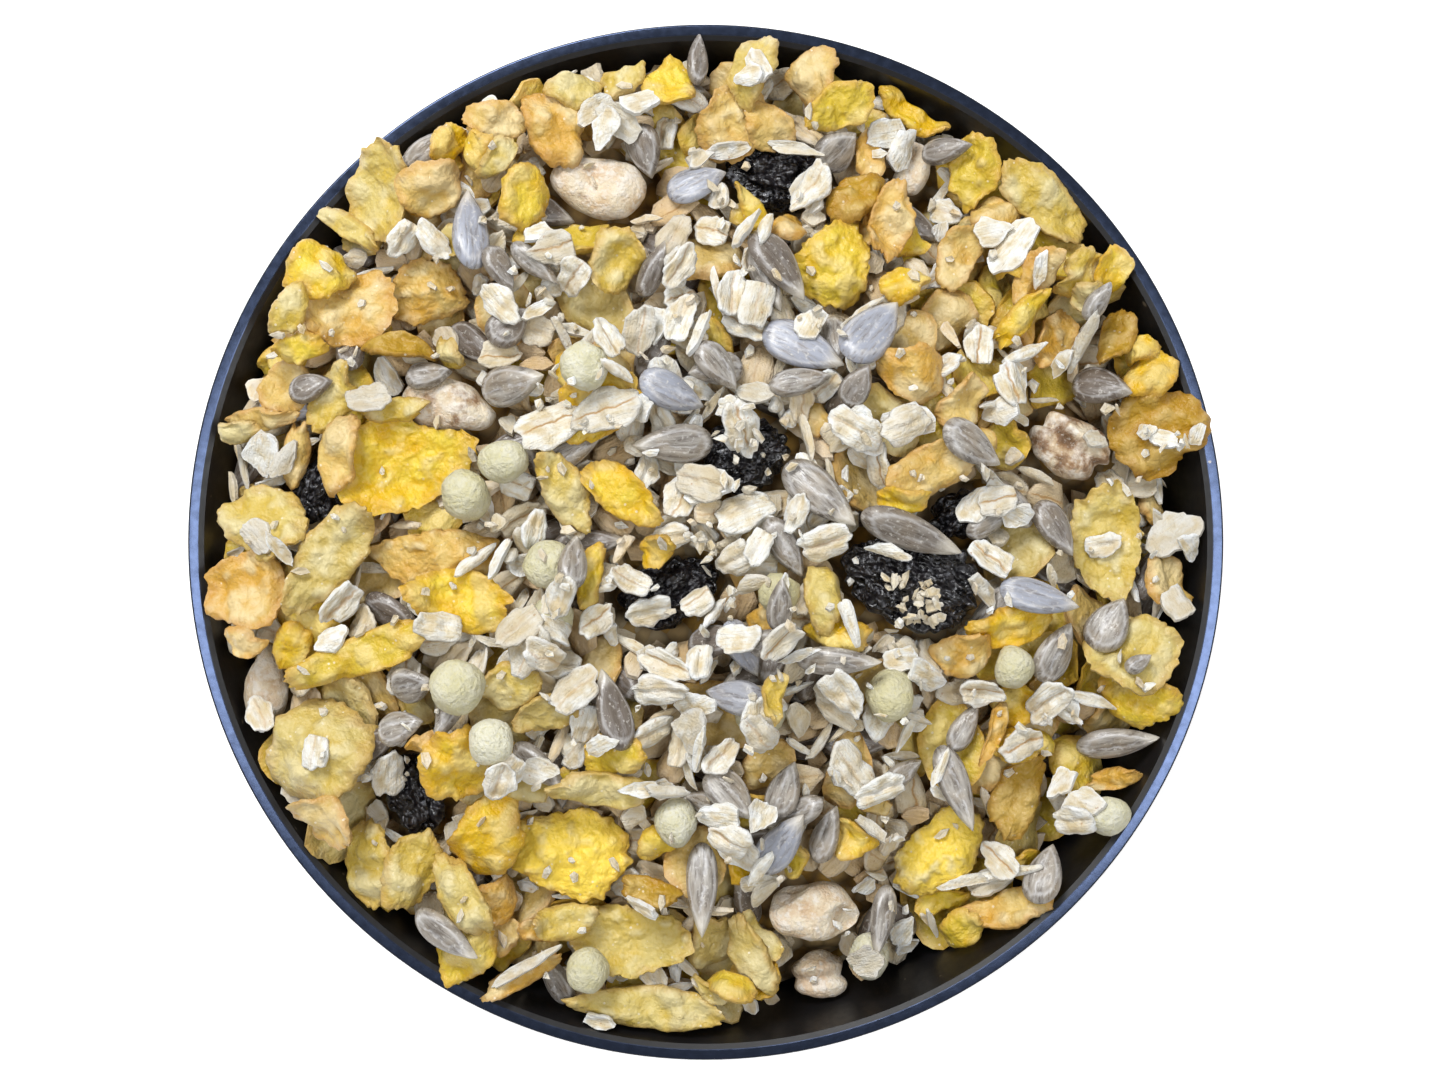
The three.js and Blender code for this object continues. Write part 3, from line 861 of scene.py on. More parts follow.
def nut_material():
    """Cream nuts, mottled with white and tan, with a few brown toasted spots, and painted shade that browns
    the groove of the grooved ones.
    """
    tree, grain, (share, relief, tone) = piece_tree("nuts")
    cloud = tree.noise(grain, 0.45, 4)
    mottled = tree.noise(grain, 0.9, 5)
    tree.body = tree.mix(tree.ramp(cloud, 0.4, 0.6), colour(236, 222, 196), colour(212, 184, 146))
    tree.tint(tree.noise(grain, 0.3, 2), 0.5, 0.68, 0.4, 220, 186, 156)  # pink
    pale = tree.plus(mottled, tree.ramp(relief, -0.8, 0.8, -0.1, 0.1))
    tree.tint(pale, 0.46, 0.6, 0.8, 242, 234, 222)
    toast_and_groove_shade = tree.plus(tree.noise(grain, 0.4, 4), tree.ramp(tone, 0, 1, -0.14, 0.12))
    # Painted shade: browner along the groove, where share holds how far into the groove a point lies.
    toast_and_groove_shade = tree.plus(toast_and_groove_shade, tree.ramp(share, 0.2, 1.0, 0, 0.09))
    tree.tint(toast_and_groove_shade, 0.54, 0.68, 0.85, 142, 102, 62)
    tree.tint(toast_and_groove_shade, 0.66, 0.8, 0.7, 84, 60, 42)
    tree.tint(tree.noise(grain, 2.0, 3), 0.55, 0.7, 0.45, 244, 240, 230)  # dust
    tree.bump(tree.plus(mottled, tree.noise(grain, 2.6, 4)), 0.32, 0.9)
    return tree.finish(Roughness=0.58, Specular_IOR_Level=0.4)


def core_material():
    """What shows through the gaps: crumbs of the same food, with painted shade between them."""
    tree = Tree("core")
    grain = tree.stored("grain")
    cells = tree.add("TexVoronoi", {"Vector": grain, "Scale": 0.45})
    kind = tree.add("SeparateColor", {"Color": cells.outputs["Color"]}).outputs[0]
    tree.body = tree.mix(tree.ramp(kind, 0.2, 0.8), colour(206, 186, 148), colour(196, 152, 66))
    # Painted shade: darker brown towards the edges of the crumbs, in the crevices between them.
    tree.tint(cells.outputs["Distance"], 0.3, 0.75, 0.8, 104, 82, 54)
    tree.bump(cells.outputs["Distance"], -0.5, 0.8)
    return tree.finish(Roughness=0.8)


def bowl_material():
    """Satin black with a bluish lip, fine scuffs and a little dust."""
    tree = Tree("bowl")
    place = tree.add("TexCoord").outputs["Object"]
    height = tree.add("SeparateXYZ", {"Vector": place}).outputs["Z"]
    lip = tree.ramp(height, (RIM_HEIGHT - 0.06) * MM, (RIM_HEIGHT - 0.01) * MM)
    cloud = tree.noise(place, 60, 3)
    scuffs = tree.noise(place, 900, 4)
    tree.body = tree.mix(tree.ramp(cloud, 0.3, 0.7), colour(22, 21, 22), colour(27, 26, 28))
    tree.body = tree.mix(lip, tree.body, (0.050, 0.066, 0.115, 1))
    specks = tree.ramp(tree.noise(place, 420, 1), 0.77, 0.8)
    tree.cover(tree.times(specks, 0.35), 190, 176, 150)
    tree.bump(scuffs, 0.02, 0.5)
    rough = tree.plus(tree.ramp(scuffs, 0.3, 0.7, 0.32, 0.42), tree.times(lip, -0.15))
    return tree.finish(Roughness=rough, Metallic=lip, Specular_IOR_Level=0.35)


# Each kind of flake: its hollows, its plain parts, its toasted edge and its blisters, and how rough it is.
FLAKE_COLOURS = {
    "golden_flakes": ((222, 176, 12), (232, 204, 66), (204, 156, 68), (228, 205, 130), 0.35),
    "tan_flakes": ((210, 162, 62), (222, 192, 114), (196, 146, 78), (230, 211, 162), 0.4),
    "amber_flakes": ((178, 132, 14), (190, 153, 48), (164, 118, 42), (204, 174, 100), 0.36),
    "pale_flakes": ((206, 176, 68), (214, 194, 118), (192, 154, 84), (224, 211, 162), 0.38),
}
MATERIALS = {
    "oats": oat_material("oats", True),
    "broken_oats": oat_material("broken_oats", False),
    **{kind: flake_material(kind, *look) for kind, look in FLAKE_COLOURS.items()},
    "kernels": kernel_material(),
    "puffs": puff_material(),
    "raisins": raisin_material(),
    "nuts": nut_material(),
    "core": core_material(),
    "bowl": bowl_material(),
}
MATERIALS["crumbs"] = MATERIALS["broken_oats"]
SLOTS = {
    **dict.fromkeys(("oats", "broken_oats", "crumbs", "core"), "oats"),
    **dict.fromkeys(FLAKE_COLOURS, "corn_flake"),
    "kernels": "seed",
    "puffs": "puff",
    "raisins": "raisin",
    "nuts": "nut",
    "bowl": "bowl",
}


def finish_piece(ob, material, *nodes):
    """Gives a piece its material, its body and the CAD nodes that it stands for."""
    ob.data.materials.append(MATERIALS[material])
    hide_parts(*nodes)
    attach(ob, "root")


def add_piece(name, material, node, verts, faces, **values):
    """A finished piece that stands for one CAD node. Gives back its vertices."""
    ob = new_mesh(name, verts, faces)
    keep_values(ob, **values)
    finish_piece(ob, material, node)
    return verts


# ---- The bowl ----

BOWL_SEGMENTS = 208
CURVE_STEPS = 22
LIP_FILLET = 0.25
LIP_CHAMFER = 0.3
LIP_BEVEL = 0.75  # how far the chamfer runs in from the edge of the lip
FOOT_INNER = 28.8
FOOT_OUTER = 31.5
FOOT_RECESS = 1.5
OUTER_CURVE = ((33.5, 2.6), (50.0, 4.4), (60.2, 20.0), (RIM_RADIUS, RIM_HEIGHT - LIP_FILLET))
INNER_CURVE = ((RIM_RADIUS - LIP_WIDTH, RIM_HEIGHT - LIP_CHAMFER), (58.0, 22.0), (48.6, 6.6), (31.0, 4.8))


def bezier(points, steps):
    share = np.linspace(0, 1, steps + 1)[:, None]
    a, b, c, d = (np.array(point) for point in points)
    rest = 1 - share
    return a * rest**3 + 3 * b * rest**2 * share + 3 * c * rest * share**2 + d * share**3


def make_bowl():
    quarter = np.linspace(0, math.pi / 2, 7)[1:, None]
    fillet = np.hstack([np.cos(quarter) - 1, np.sin(quarter) - 1]) * LIP_FILLET + [RIM_RADIUS, RIM_HEIGHT]
    profile = np.vstack(
        [
            [(0, FOOT_RECESS), (FOOT_INNER - 0.3, FOOT_RECESS), (FOOT_INNER, FOOT_RECESS - 0.3)],
            [(FOOT_INNER, 0.3), (FOOT_INNER + 0.3, 0), (FOOT_OUTER - 0.3, 0), (FOOT_OUTER, 0.3)],
            bezier(OUTER_CURVE, CURVE_STEPS),
            fillet,
            [(RIM_RADIUS - LIP_WIDTH + LIP_BEVEL, RIM_HEIGHT)],
            bezier(INNER_CURVE, CURVE_STEPS),
            [(0, 4.8)],
        ]
    )
    rings = profile[1:-1]
    angle = np.arange(BOWL_SEGMENTS) * 2 * math.pi / BOWL_SEGMENTS
    around = [(rings[:, :1] * turn).ravel() for turn in (np.cos(angle), np.sin(angle))]
    verts = columns(*around, np.repeat(rings[:, 1], BOWL_SEGMENTS))
    ends = np.array([(0, 0, profile[0, 1]), (0, 0, profile[-1, 1])])
    verts = np.vstack([verts, ends])
    firsts = np.arange(len(rings) - 1) * BOWL_SEGMENTS
    bands = [band(first, first + BOWL_SEGMENTS, BOWL_SEGMENTS) for first in firsts]
    bottom = fan(len(verts) - 2, 0, BOWL_SEGMENTS)
    inside = fan(len(verts) - 1, firsts[-1] + BOWL_SEGMENTS, BOWL_SEGMENTS)
    ob = new_mesh("bowl_turned", verts, np.vstack([np.vstack([*bands, bottom])[:, ::-1], inside]))
    ob.data.set_sharp_from_angle(angle=math.radians(18))
    finish_piece(ob, "bowl", "bowl")


make_bowl()

# ---- The core ----


def make_core():
    """The smaller body of the heap, under the loose pieces, with the relief of crumbs on its top."""
    rings, segments = 38, 120
    share, angle = polar_points(rings, segments)
    top_at_wall = HEAP_TOP[cells_at(EDGE_RADIUS * np.cos(angle), EDGE_RADIUS * np.sin(angle))] - CORE_DEPTH
    radius = share * (wall_radius(top_at_wall) - CORE_GAP)
    x, y = radius * np.cos(angle), radius * np.sin(angle)
    place = columns(x, y)
    height = CORE_TOP[cells_at(x, y)] + 0.8 * noise(place, 2.6) + 0.4 * noise(place, 1.2)
    upper = columns(x, y, height - 0.6)
    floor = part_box("granola_heap")[0][2] / MM + CORE_GAP
    depth = floor + (top_at_wall - 1.5 - floor) * share**4
    inner = np.minimum(radius, wall_radius(depth) - CORE_GAP)
    lower = columns(inner * np.cos(angle), inner * np.sin(angle), depth)
    verts = np.vstack([upper, lower])
    faces = closed_faces(rings, rings, segments)
    add_piece("granola_core", "core", "granola_heap", verts, faces, grain=verts)


make_core()

# ---- Raisins, nuts and large flakes, from their CAD nodes ----

RAISINS = [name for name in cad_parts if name.startswith("raisin_")]
NUTS = [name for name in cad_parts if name.startswith("nut_")]
FLAKES = [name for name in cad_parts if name.startswith("corn_flake_")]
# The kind of each large flake, and its tone: a negative one is brighter, and one near 1 darker.
FLAKE_LOOKS = {
    "corn_flake_1": ("golden_flakes", 0.5),
    "corn_flake_2": ("tan_flakes", 0.5),
    "corn_flake_3": ("golden_flakes", -0.9),
    "corn_flake_4": ("pale_flakes", -0.8),
    "corn_flake_5": ("golden_flakes", 0.8),
    "corn_flake_6": ("pale_flakes", 0.6),
    "corn_flake_7": ("tan_flakes", 0.5),
    "corn_flake_8": ("pale_flakes", 0.6),
}


def make_raisin(node):
    """A raisin: its CAD body with wrinkles along it and across."""
    verts, normals, faces, _, local, offset = node_shape(node, 3)
    warped = local + 0.5 * columns(*(noise(local + offset + shift, 2.0) for shift in (0, 50, 100)))
    long_wrinkles = np.abs(noise(warped * [0.5, 1, 1] + offset, 1.7)) * 2.6 - 0.6
    cross_wrinkles = np.abs(noise(warped + offset[::-1], 1.2)) * 2.6 - 0.6
    relief = 0.65 * long_wrinkles + 0.35 * cross_wrinkles
    verts = verts + normals * (0.85 * relief + 0.25 * noise(local + offset, 4.0))[:, None]
    shade = columns(relief * 0, relief, relief * 0)
    return add_piece(node + "_skin", "raisins", node, verts, faces, grain=local + offset, shade=shade)


def make_nut(node, tone, waist, groove, groove_turn, facets):
    """A nut: its CAD body with lumps.

    waist is how much it narrows beside its middle, groove how deep a line runs along it, groove_turn how far
    that line is turned, and facets how many flat sides are broken off."""
    verts, normals, faces, axes, local, offset = node_shape(node, 2)
    relief = noise(local + offset, 2.4) + 0.35 * noise(local + offset, 0.9)
    lumps = 0.9 * noise(local + offset, 4.2)
    lumps = lumps - waist * np.exp(-(((local[:, 0] - 1.2) / 1.6) ** 2))
    across = local[:, 1] * math.cos(groove_turn) - local[:, 0] * math.sin(groove_turn) + 0.6 * noise(local, 3)
    lumps = lumps - groove * (np.exp(-((across / 0.8) ** 2)) - 0.5 * np.exp(-(((across + 1.6) / 0.6) ** 2)))
    for _ in range(facets):
        facing = RNG.normal(0, 1, 3) * [1, 1, 0.7]
        facing /= np.linalg.norm(facing)
        distance = local @ facing
        past = np.clip(distance - distance.max() * RNG.uniform(0.7, 0.86), 0, None)
        verts = verts - (past * 0.85)[:, None] * (axes @ facing)
    verts = verts + normals * (0.3 * relief + lumps)[:, None]
    # How far into the groove each point lies, which the material browns as painted shade.
    inside = (groove > 0.5) * np.exp(-((across / 1.0) ** 2))
    shade = columns(inside, relief, relief * 0 + tone)
    return add_piece(node + "_body", "nuts", node, verts, faces, grain=local + offset, shade=shade)


def make_flake(node):
    """A large flake: its CAD plate made thinner, crumpled, blistered and ragged."""
    verts, normals, faces, axes, local, offset = node_shape(node, 3)
    angle = np.arctan2(local[:, 1], local[:, 0])
    radius = np.hypot(local[:, 0], local[:, 1])
    sector = ((angle + math.pi) / (2 * math.pi) * 36).astype(int).clip(0, 35)
    reach = np.array([radius[sector == s].max() if (sector == s).any() else radius.max() for s in range(36)])
    reach = np.maximum(reach, (np.roll(reach, 1) + np.roll(reach, -1)) / 2)
    share = np.clip(radius / reach[sector], 0, 1)
    flat = local[:, :2] + offset[:2]
    ragged = harmonics({5: 0.015, 7: 0.018, 9: 0.018, 12: 0.02, 16: 0.02, 23: 0.02, 31: 0.018})(angle)
    ridges = np.abs(noise(flat * [1, 0.5], 2.6)) - 0.3
    crumple = 0.55 * noise(flat, 3.2) + 0.3 * noise(flat, 1.7) + 0.25 * ridges
    blisters = np.clip(noise(flat + 40, 1.5), 0, 1) * 0.45 + np.clip(noise(flat + 90, 0.8), 0, 1) * 0.2
    outward = columns(np.cos(angle), np.sin(angle), np.zeros(len(angle))) @ axes.T
    verts = verts - normals * 0.2
    verts = verts + axes[:, 2] * (crumple + blisters * 0.7)[:, None]
    verts = verts + normals * (0.35 * blisters + 0.04 * noise(flat, 0.5))[:, None]
    verts = verts + outward * (ragged * radius * share**5)[:, None]
    relief = blisters * 2.4 - 0.4 + 0.3 * noise(flat, 1.6)
    kind, tone = FLAKE_LOOKS[node]
    shade = columns(share, relief, relief * 0 + tone)
    return add_piece(node + "_sheet", kind, node, verts, faces, grain=local + offset, shade=shade)


node_verts = [make_raisin(node) for node in RAISINS]
# How toasted each nut is, how much narrower beside its middle, how deep the line along it and at what turn,
# and its facets.
NUT_LOOKS = (
    (0.25, 0.4, 0, 0, 0),
    (0.65, 0, 0, 0, 0),
    (0.9, 0, 1.0, -0.5, 0),
    (0.0, 0.2, 0, 0, 5),
    (0.15, 0, 0, 0, 0),
    (0.1, 0, 0.8, 0.3, 2),
    (0.1, 0, 0.4, 0, 0),
)
node_verts += [make_nut(node, *look) for node, look in zip(NUTS, NUT_LOOKS)]
flake_verts = [make_flake(node) for node in FLAKES]

# Nothing random may lie inside a raisin or a nut, or poke through a large flake from below.
for verts in node_verts:
    ceiling[cells_at(verts[:, 0], verts[:, 1])] = -NO_CEILING
for verts in flake_verts:
    np.minimum.at(ceiling, cells_at(verts[:, 0], verts[:, 1]), verts[:, 2] - 0.1)
ceiling = wide_filter(ceiling, 1, np.minimum)

# ---- Stocks of shapes ----


def stock(number, make):
    return [make() for _ in range(number)]


fine_oats = stock(36, lambda: oat_flake(RNG.uniform(4.8, 7.0), RNG.uniform(2.9, 4.2), 6, 24))
plain_oats = stock(16, lambda: oat_flake(RNG.uniform(5.4, 7.4), RNG.uniform(3.4, 4.6), 2, 12))
fine_broken = stock(48, lambda: broken_oat(RNG.uniform(2.4, 5.0), RNG.uniform(1.8, 3.6), 4, 16))
plain_broken = stock(16, lambda: broken_oat(RNG.uniform(3, 5), RNG.uniform(2.4, 4), 1, 8))
slivers = stock(30, lambda: broken_oat(RNG.uniform(2.8, 6.4), RNG.uniform(0.8, 1.5), 2, 12))
crumbs = stock(40, lambda: broken_oat(RNG.uniform(0.5, 2.1), RNG.uniform(0.4, 1.4), 1, 5))
small_flakes = stock(24, lambda: corn_flake(RNG.uniform(4, 8), RNG.uniform(3, 6), 8, 34))
plain_flakes = stock(12, lambda: corn_flake(RNG.uniform(8, 13), RNG.uniform(6, 9), 5, 22))
kernels = stock(24, lambda: kernel(RNG.uniform(7.6, 10.4), RNG.uniform(3.2, 4.8), RNG.uniform(2.0, 2.7)))
puffs = stock(8, lambda: puff(RNG.uniform(5.2, 6.4), 2))


def pick(shapes):
    return shapes[RNG.integers(len(shapes))]


# ---- Filling the bowl up to the top layer ----

TRIES = 12
FILL_RADIUS = 61.5
AROUND = np.array([(0, 0), (1.6, 0), (-1.6, 0), (0, 1.6), (0, -1.6)])
MOST_PIECES = 2600
MOST_MISSES = 250
LEAST_LACK = 0.25  # a place that lacks less than this is full
WALL_SHARE = 0.55  # of its reach, by which a piece keeps off the wall
LEAN = 0.23  # the spread of the slopes that pieces have of their own
OATS_WITHIN = 26  # the kinds change from here
FLAKES_BEYOND = 46  # to here, as radii
DEEP_BELOW = 2.6  # how far under the heap's top the first layer ends
TOP_BELOW = 0.3
# For each layer: up to which draw, and how much further near the wall, a piece is of which kind and from
# which stock. None stands for any kind of flake.
DEEP_CHANCES = (
    (0.06, 0.3, None, plain_flakes),
    (0.14, 0.3, "kernels", kernels),
    (0.6, 0.15, "oats", plain_oats),
    (1.0, 0.0, "broken_oats", plain_broken),
)
TOP_CHANCES = (
    (0.035, 0.18, None, small_flakes),
    (0.065, 0.18, "kernels", kernels),
    (0.075, 0.18, "puffs", puffs),
    (0.42, 0.0, "oats", fine_oats),
    (0.76, 0.0, "broken_oats", fine_broken),
    (1.0, 0.0, "broken_oats", slivers),
)


def lowest_place(target):
    """Of a few random places, the one that lies furthest below the target."""
    radius = FILL_RADIUS * np.sqrt(RNG.random(TRIES))
    angle = RNG.uniform(0, 2 * math.pi, TRIES)
    x, y = radius * np.cos(angle), radius * np.sin(angle)
    i, j = cells_at(x[:, None] + AROUND[:, 0], y[:, None] + AROUND[:, 1])
    lack = (np.minimum(target[i, j], ceiling[i, j]) - ground[i, j]).mean(1)
    best = lack.argmax()
    return x[best], y[best], lack[best]


def flake_kind():
    return ("golden_flakes", "tan_flakes", "pale_flakes")[RNG.choice(3, p=(0.45, 0.3, 0.25))]


def choose(chances, x, y):
    """A random kind and shape. Oats lie in the middle, and corn flakes near the wall."""
    near_wall = float(smooth_step(OATS_WITHIN, FLAKES_BEYOND, math.hypot(x, y)))
    draw = RNG.random()
    for limit, growth, kind, shapes in chances:
        if draw < limit + growth * near_wall:
            return kind or flake_kind(), pick(shapes)


def fill(target, chances, painted_deep_shade):
    """Drops pieces where the heap is lowest until it reaches the target.

    The last argument is painted shade, added to their tones: what lies deep is painted browner and darker."""
    misses = 0
    for _ in range(MOST_PIECES):
        x, y, lack = lowest_place(target)
        if lack < LEAST_LACK:
            misses += 1
            if misses > MOST_MISSES:
                break
            continue
        kind, shape = choose(chances, x, y)
        room = wall_radius(ground[cells_at(x, y)]) - WALL_SHARE * shape.reach
        apart = math.hypot(x, y)
        if apart > room:
            x, y = x * room / apart, y * room / apart
        lean = RNG.normal(0, LEAN, 2)
        tone = RNG.random() + painted_deep_shade
        put(kind, shape, *settle(shape, x, y, RNG.uniform(0, 2 * math.pi), lean=lean), tone)


# The deep layer gets painted shade: 1 is added to each of its tones.
fill(HEAP_TOP - DEEP_BELOW, DEEP_CHANCES, 1.0)
fill(HEAP_TOP - TOP_BELOW, TOP_CHANCES, 0.0)
for verts in node_verts + flake_verts:
    raise_ground(verts)

# ---- Pieces where the photograph shows them ----

# Corn flakes: the middle, the length and the width in pixels, the turn in degrees, and the kind: g golden,
# t tan, a amber, p pale. A flake that lies on another comes after it.
PLACED_FLAKES = [
    (497, 120, 70, 40, 0, "t"), (385, 192, 100, 76, 85, "p"), (345, 305, 100, 92, 20, "t"),
    (485, 842, 92, 76, 70, "g"), (1158, 432, 98, 92, 10, "a"), (1134, 694, 84, 64, -30, "g"),
    (1132, 655, 98, 80, 15, "p"), (312, 752, 116, 106, 30, "p"), (1042, 200, 112, 54, -42, "p"),
    (248, 592, 84, 82, 10, "t"), (322, 266, 70, 62, 20, "g"), (430, 188, 66, 58, 10, "t"),
    (447, 142, 44, 36, 40, "g"), (478, 150, 44, 34, 60, "g"), (497, 158, 52, 28, 50, "p"),
    (555, 125, 84, 58, -55, "t"), (670, 88, 58, 56, 70, "g"), (733, 122, 82, 72, 60, "t"),
    (768, 128, 60, 44, -40, "t"), (814, 77, 60, 52, 60, "t"), (838, 106, 76, 46, 22, "g"),
    (909, 114, 78, 28, -32, "g"), (973, 174, 80, 50, 75, "g"), (525, 197, 70, 54, 80, "g"),
    (1033, 288, 104, 40, 82, "t"), (1084, 272, 60, 44, 50, "p"), (565, 492, 88, 44, -62, "p"),
    (620, 492, 88, 46, -38, "g"), (330, 556, 124, 62, 54, "p"), (292, 645, 54, 36, 70, "g"),
    (360, 654, 158, 42, 22, "g"), (455, 764, 86, 70, -70, "g"), (368, 865, 92, 58, -75, "p"),
    (412, 870, 86, 60, 65, "p"), (490, 904, 62, 50, 50, "t"), (465, 948, 84, 58, 60, "g"),
    (460, 896, 92, 44, -60, "p"), (521, 976, 96, 24, 30, "t"), (552, 927, 68, 26, 10, "t"),
    (650, 1008, 156, 44, -3, "p"), (752, 955, 84, 40, -65, "p"), (730, 985, 56, 30, -20, "g"),
    (930, 470, 98, 50, 24, "t"), (1012, 625, 100, 42, 12, "g"), (614, 757, 68, 46, 10, "g"),
    (600, 786, 108, 36, -5, "p"), (1017, 795, 96, 48, 70, "a"), (1012, 746, 54, 30, -10, "g"),
    (1008, 906, 92, 42, 8, "t"), (649, 891, 66, 28, -12, "a"), (753, 67, 78, 46, 72, "p"),
    (285, 388, 60, 48, 60, "t"), (256, 420, 88, 26, 12, "t"), (334, 398, 76, 42, 60, "p"),
    (295, 456, 76, 26, 80, "t"), (300, 352, 60, 32, 10, "g"), (290, 312, 58, 34, 70, "p"),
    (350, 228, 90, 22, -32, "p"), (1152, 374, 60, 46, 30, "g"), (1141, 350, 40, 26, 20, "g"),
    (1111, 272, 52, 40, 70, "g"), (904, 286, 50, 36, 20, "g"), (658, 548, 46, 32, 50, "g"),
    (590, 578, 70, 26, 80, "g"), (838, 636, 68, 34, -10, "g"), (772, 700, 54, 24, 75, "p"),
    (1112, 342, 66, 38, 75, "a"), (1053, 342, 72, 42, 60, "t"), (1020, 318, 80, 26, 50, "g"),
    (858, 194, 68, 46, 40, "a"), (888, 224, 88, 44, 72, "t"), (614, 258, 66, 54, 80, "p"),
    (512, 684, 62, 48, 20, "p"), (548, 710, 66, 42, 25, "p"), (958, 258, 72, 42, 65, "t"),
    (915, 374, 72, 58, -40, "t"), (962, 402, 58, 46, 70, "t"), (1111, 777, 62, 20, 15, "t"),
    (1014, 748, 50, 30, 0, "g"), (575, 90, 60, 40, 0, "p"), (625, 80, 50, 34, 40, "p"),
    (330, 816, 70, 52, -20, "t"), (455, 240, 46, 34, -20, "p"), (600, 400, 96, 66, 40, "g"),
    (460, 600, 110, 60, -10, "g"), (752, 208, 58, 24, -60, "g"), (962, 930, 56, 40, 50, "g"),
    (240, 430, 46, 28, 10, "p"), (564, 922, 70, 36, 10, "p"), (265, 522, 96, 74, -25, "p"),
    (824, 594, 74, 38, -85, "p"), (903, 500, 54, 30, 12, "g"), (966, 654, 60, 48, 20, "t"),
    (995, 730, 76, 20, 62, "t"), (1165, 586, 62, 50, -60, "t"), (1088, 295, 38, 34, 0, "p"),
    (338, 452, 84, 44, 80, "t"), (396, 410, 64, 26, 8, "p"), (396, 346, 70, 30, -8, "a"),
    (243, 640, 50, 26, -10, "t"),
]
# Sunflower kernels: the middle, the length and the width in pixels, the way the tip points, in degrees, and
# the look: s silver, g grey, d dark.
PLACED_KERNELS = [
    (470, 228, 88, 38, 92, "s"), (510, 325, 50, 38, 45, "d"), (536, 264, 60, 24, -40, "g"),
    (697, 58, 56, 22, 84, "d"), (645, 152, 56, 36, -75, "d"), (698, 183, 62, 40, 20, "s"),
    (838, 150, 48, 44, 45, "g"), (948, 150, 54, 28, 5, "d"), (780, 267, 84, 44, -55, "d"),
    (653, 267, 60, 24, 70, "d"), (873, 330, 88, 48, 50, "s"), (806, 347, 86, 44, -25, "s"),
    (718, 367, 58, 34, -50, "g"), (673, 393, 72, 38, -20, "s"), (802, 381, 62, 28, 10, "g"),
    (858, 384, 46, 30, 60, "d"), (671, 444, 80, 40, 180, "g"), (973, 446, 72, 40, -30, "g"),
    (822, 496, 92, 42, -42, "g"), (914, 534, 112, 38, -25, "d"), (1041, 598, 82, 38, -12, "s"),
    (780, 603, 56, 26, 90, "g"), (1056, 530, 64, 34, -60, "d"), (1056, 651, 66, 40, 60, "g"),
    (1110, 623, 60, 44, 60, "g"), (987, 523, 48, 26, 20, "g"), (1102, 388, 66, 40, -20, "d"),
    (414, 684, 50, 38, 20, "g"), (404, 726, 50, 36, 10, "g"), (612, 708, 82, 36, 105, "d"),
    (732, 796, 66, 40, -50, "g"), (782, 842, 84, 38, 55, "s"), (841, 661, 82, 30, 0, "g"),
    (965, 726, 54, 26, 60, "g"), (957, 790, 90, 32, -70, "g"), (785, 788, 58, 34, 70, "g"),
    (827, 833, 60, 30, 70, "g"), (702, 892, 94, 32, -90, "g"), (903, 773, 50, 24, 30, "g"),
    (1043, 871, 64, 40, 75, "g"), (881, 922, 74, 26, -104, "g"), (1120, 742, 84, 34, 10, "g"),
    (448, 936, 78, 34, -30, "g"), (514, 384, 74, 40, 15, "g"), (430, 376, 46, 30, 10, "g"),
    (312, 387, 46, 30, 15, "d"), (573, 561, 58, 30, 80, "g"), (1098, 300, 44, 24, 60, "g"),
    (770, 640, 50, 26, 30, "g"), (500, 270, 50, 28, -60, "d"), (1139, 663, 32, 18, 30, "g"),
]
# Puffs: the middle and the diameter in pixels.
PLACED_PUFFS = [
    (585, 367, 50), (504, 461, 46), (466, 495, 50), (549, 564, 46), (457, 687, 50), (490, 743, 44),
    (890, 695, 50), (676, 822, 46), (1014, 668, 42), (587, 970, 42), (869, 957, 44), (1103, 813, 44),
]
# Whole oats: the middle and the length in pixels, and the turn in degrees.
PLACED_OATS = [
    (500, 303, 54, -45), (405, 235, 50, 60), (433, 240, 46, -50), (557, 248, 54, 15), (575, 275, 56, 50),
    (730, 295, 52, 80), (757, 300, 60, 75), (680, 265, 50, 60), (812, 188, 56, 50), (550, 425, 78, 25),
    (607, 410, 74, 15), (857, 430, 62, -30), (907, 425, 58, 20), (740, 425, 60, -70), (747, 510, 70, 25),
    (700, 482, 56, -15), (797, 512, 42, 70), (825, 543, 58, 20), (440, 627, 58, -10), (339, 602, 54, 48),
    (665, 664, 54, -20), (595, 622, 46, 40), (843, 692, 60, -60), (760, 735, 54, -50), (852, 770, 66, -50),
    (733, 843, 56, -30), (388, 774, 56, 86), (316, 750, 46, 80), (260, 715, 46, -60), (1103, 545, 42, 10),
    (369, 400, 52, 0), (1010, 385, 50, -70), (700, 600, 44, 30), (630, 580, 50, -20), (660, 690, 60, 5),
    (700, 660, 46, 80), (650, 610, 52, 10), (575, 690, 60, 40), (530, 650, 60, 60), (780, 640, 50, 40),
    (720, 760, 50, 50), (880, 790, 56, 20), (1050, 700, 58, 40), (1020, 745, 52, 20), (980, 690, 50, -10),
    (560, 595, 50, 60), (520, 625, 62, 35), (1000, 500, 50, 15), (990, 560, 54, -40), (640, 330, 54, 80),
    (680, 320, 52, 70), (610, 340, 46, -60), (735, 560, 52, 30), (760, 545, 46, 60), (740, 640, 50, 0),
    (500, 780, 50, 70), (1000, 860, 52, -45), (1075, 820, 50, 15), (545, 655, 54, -30),
]
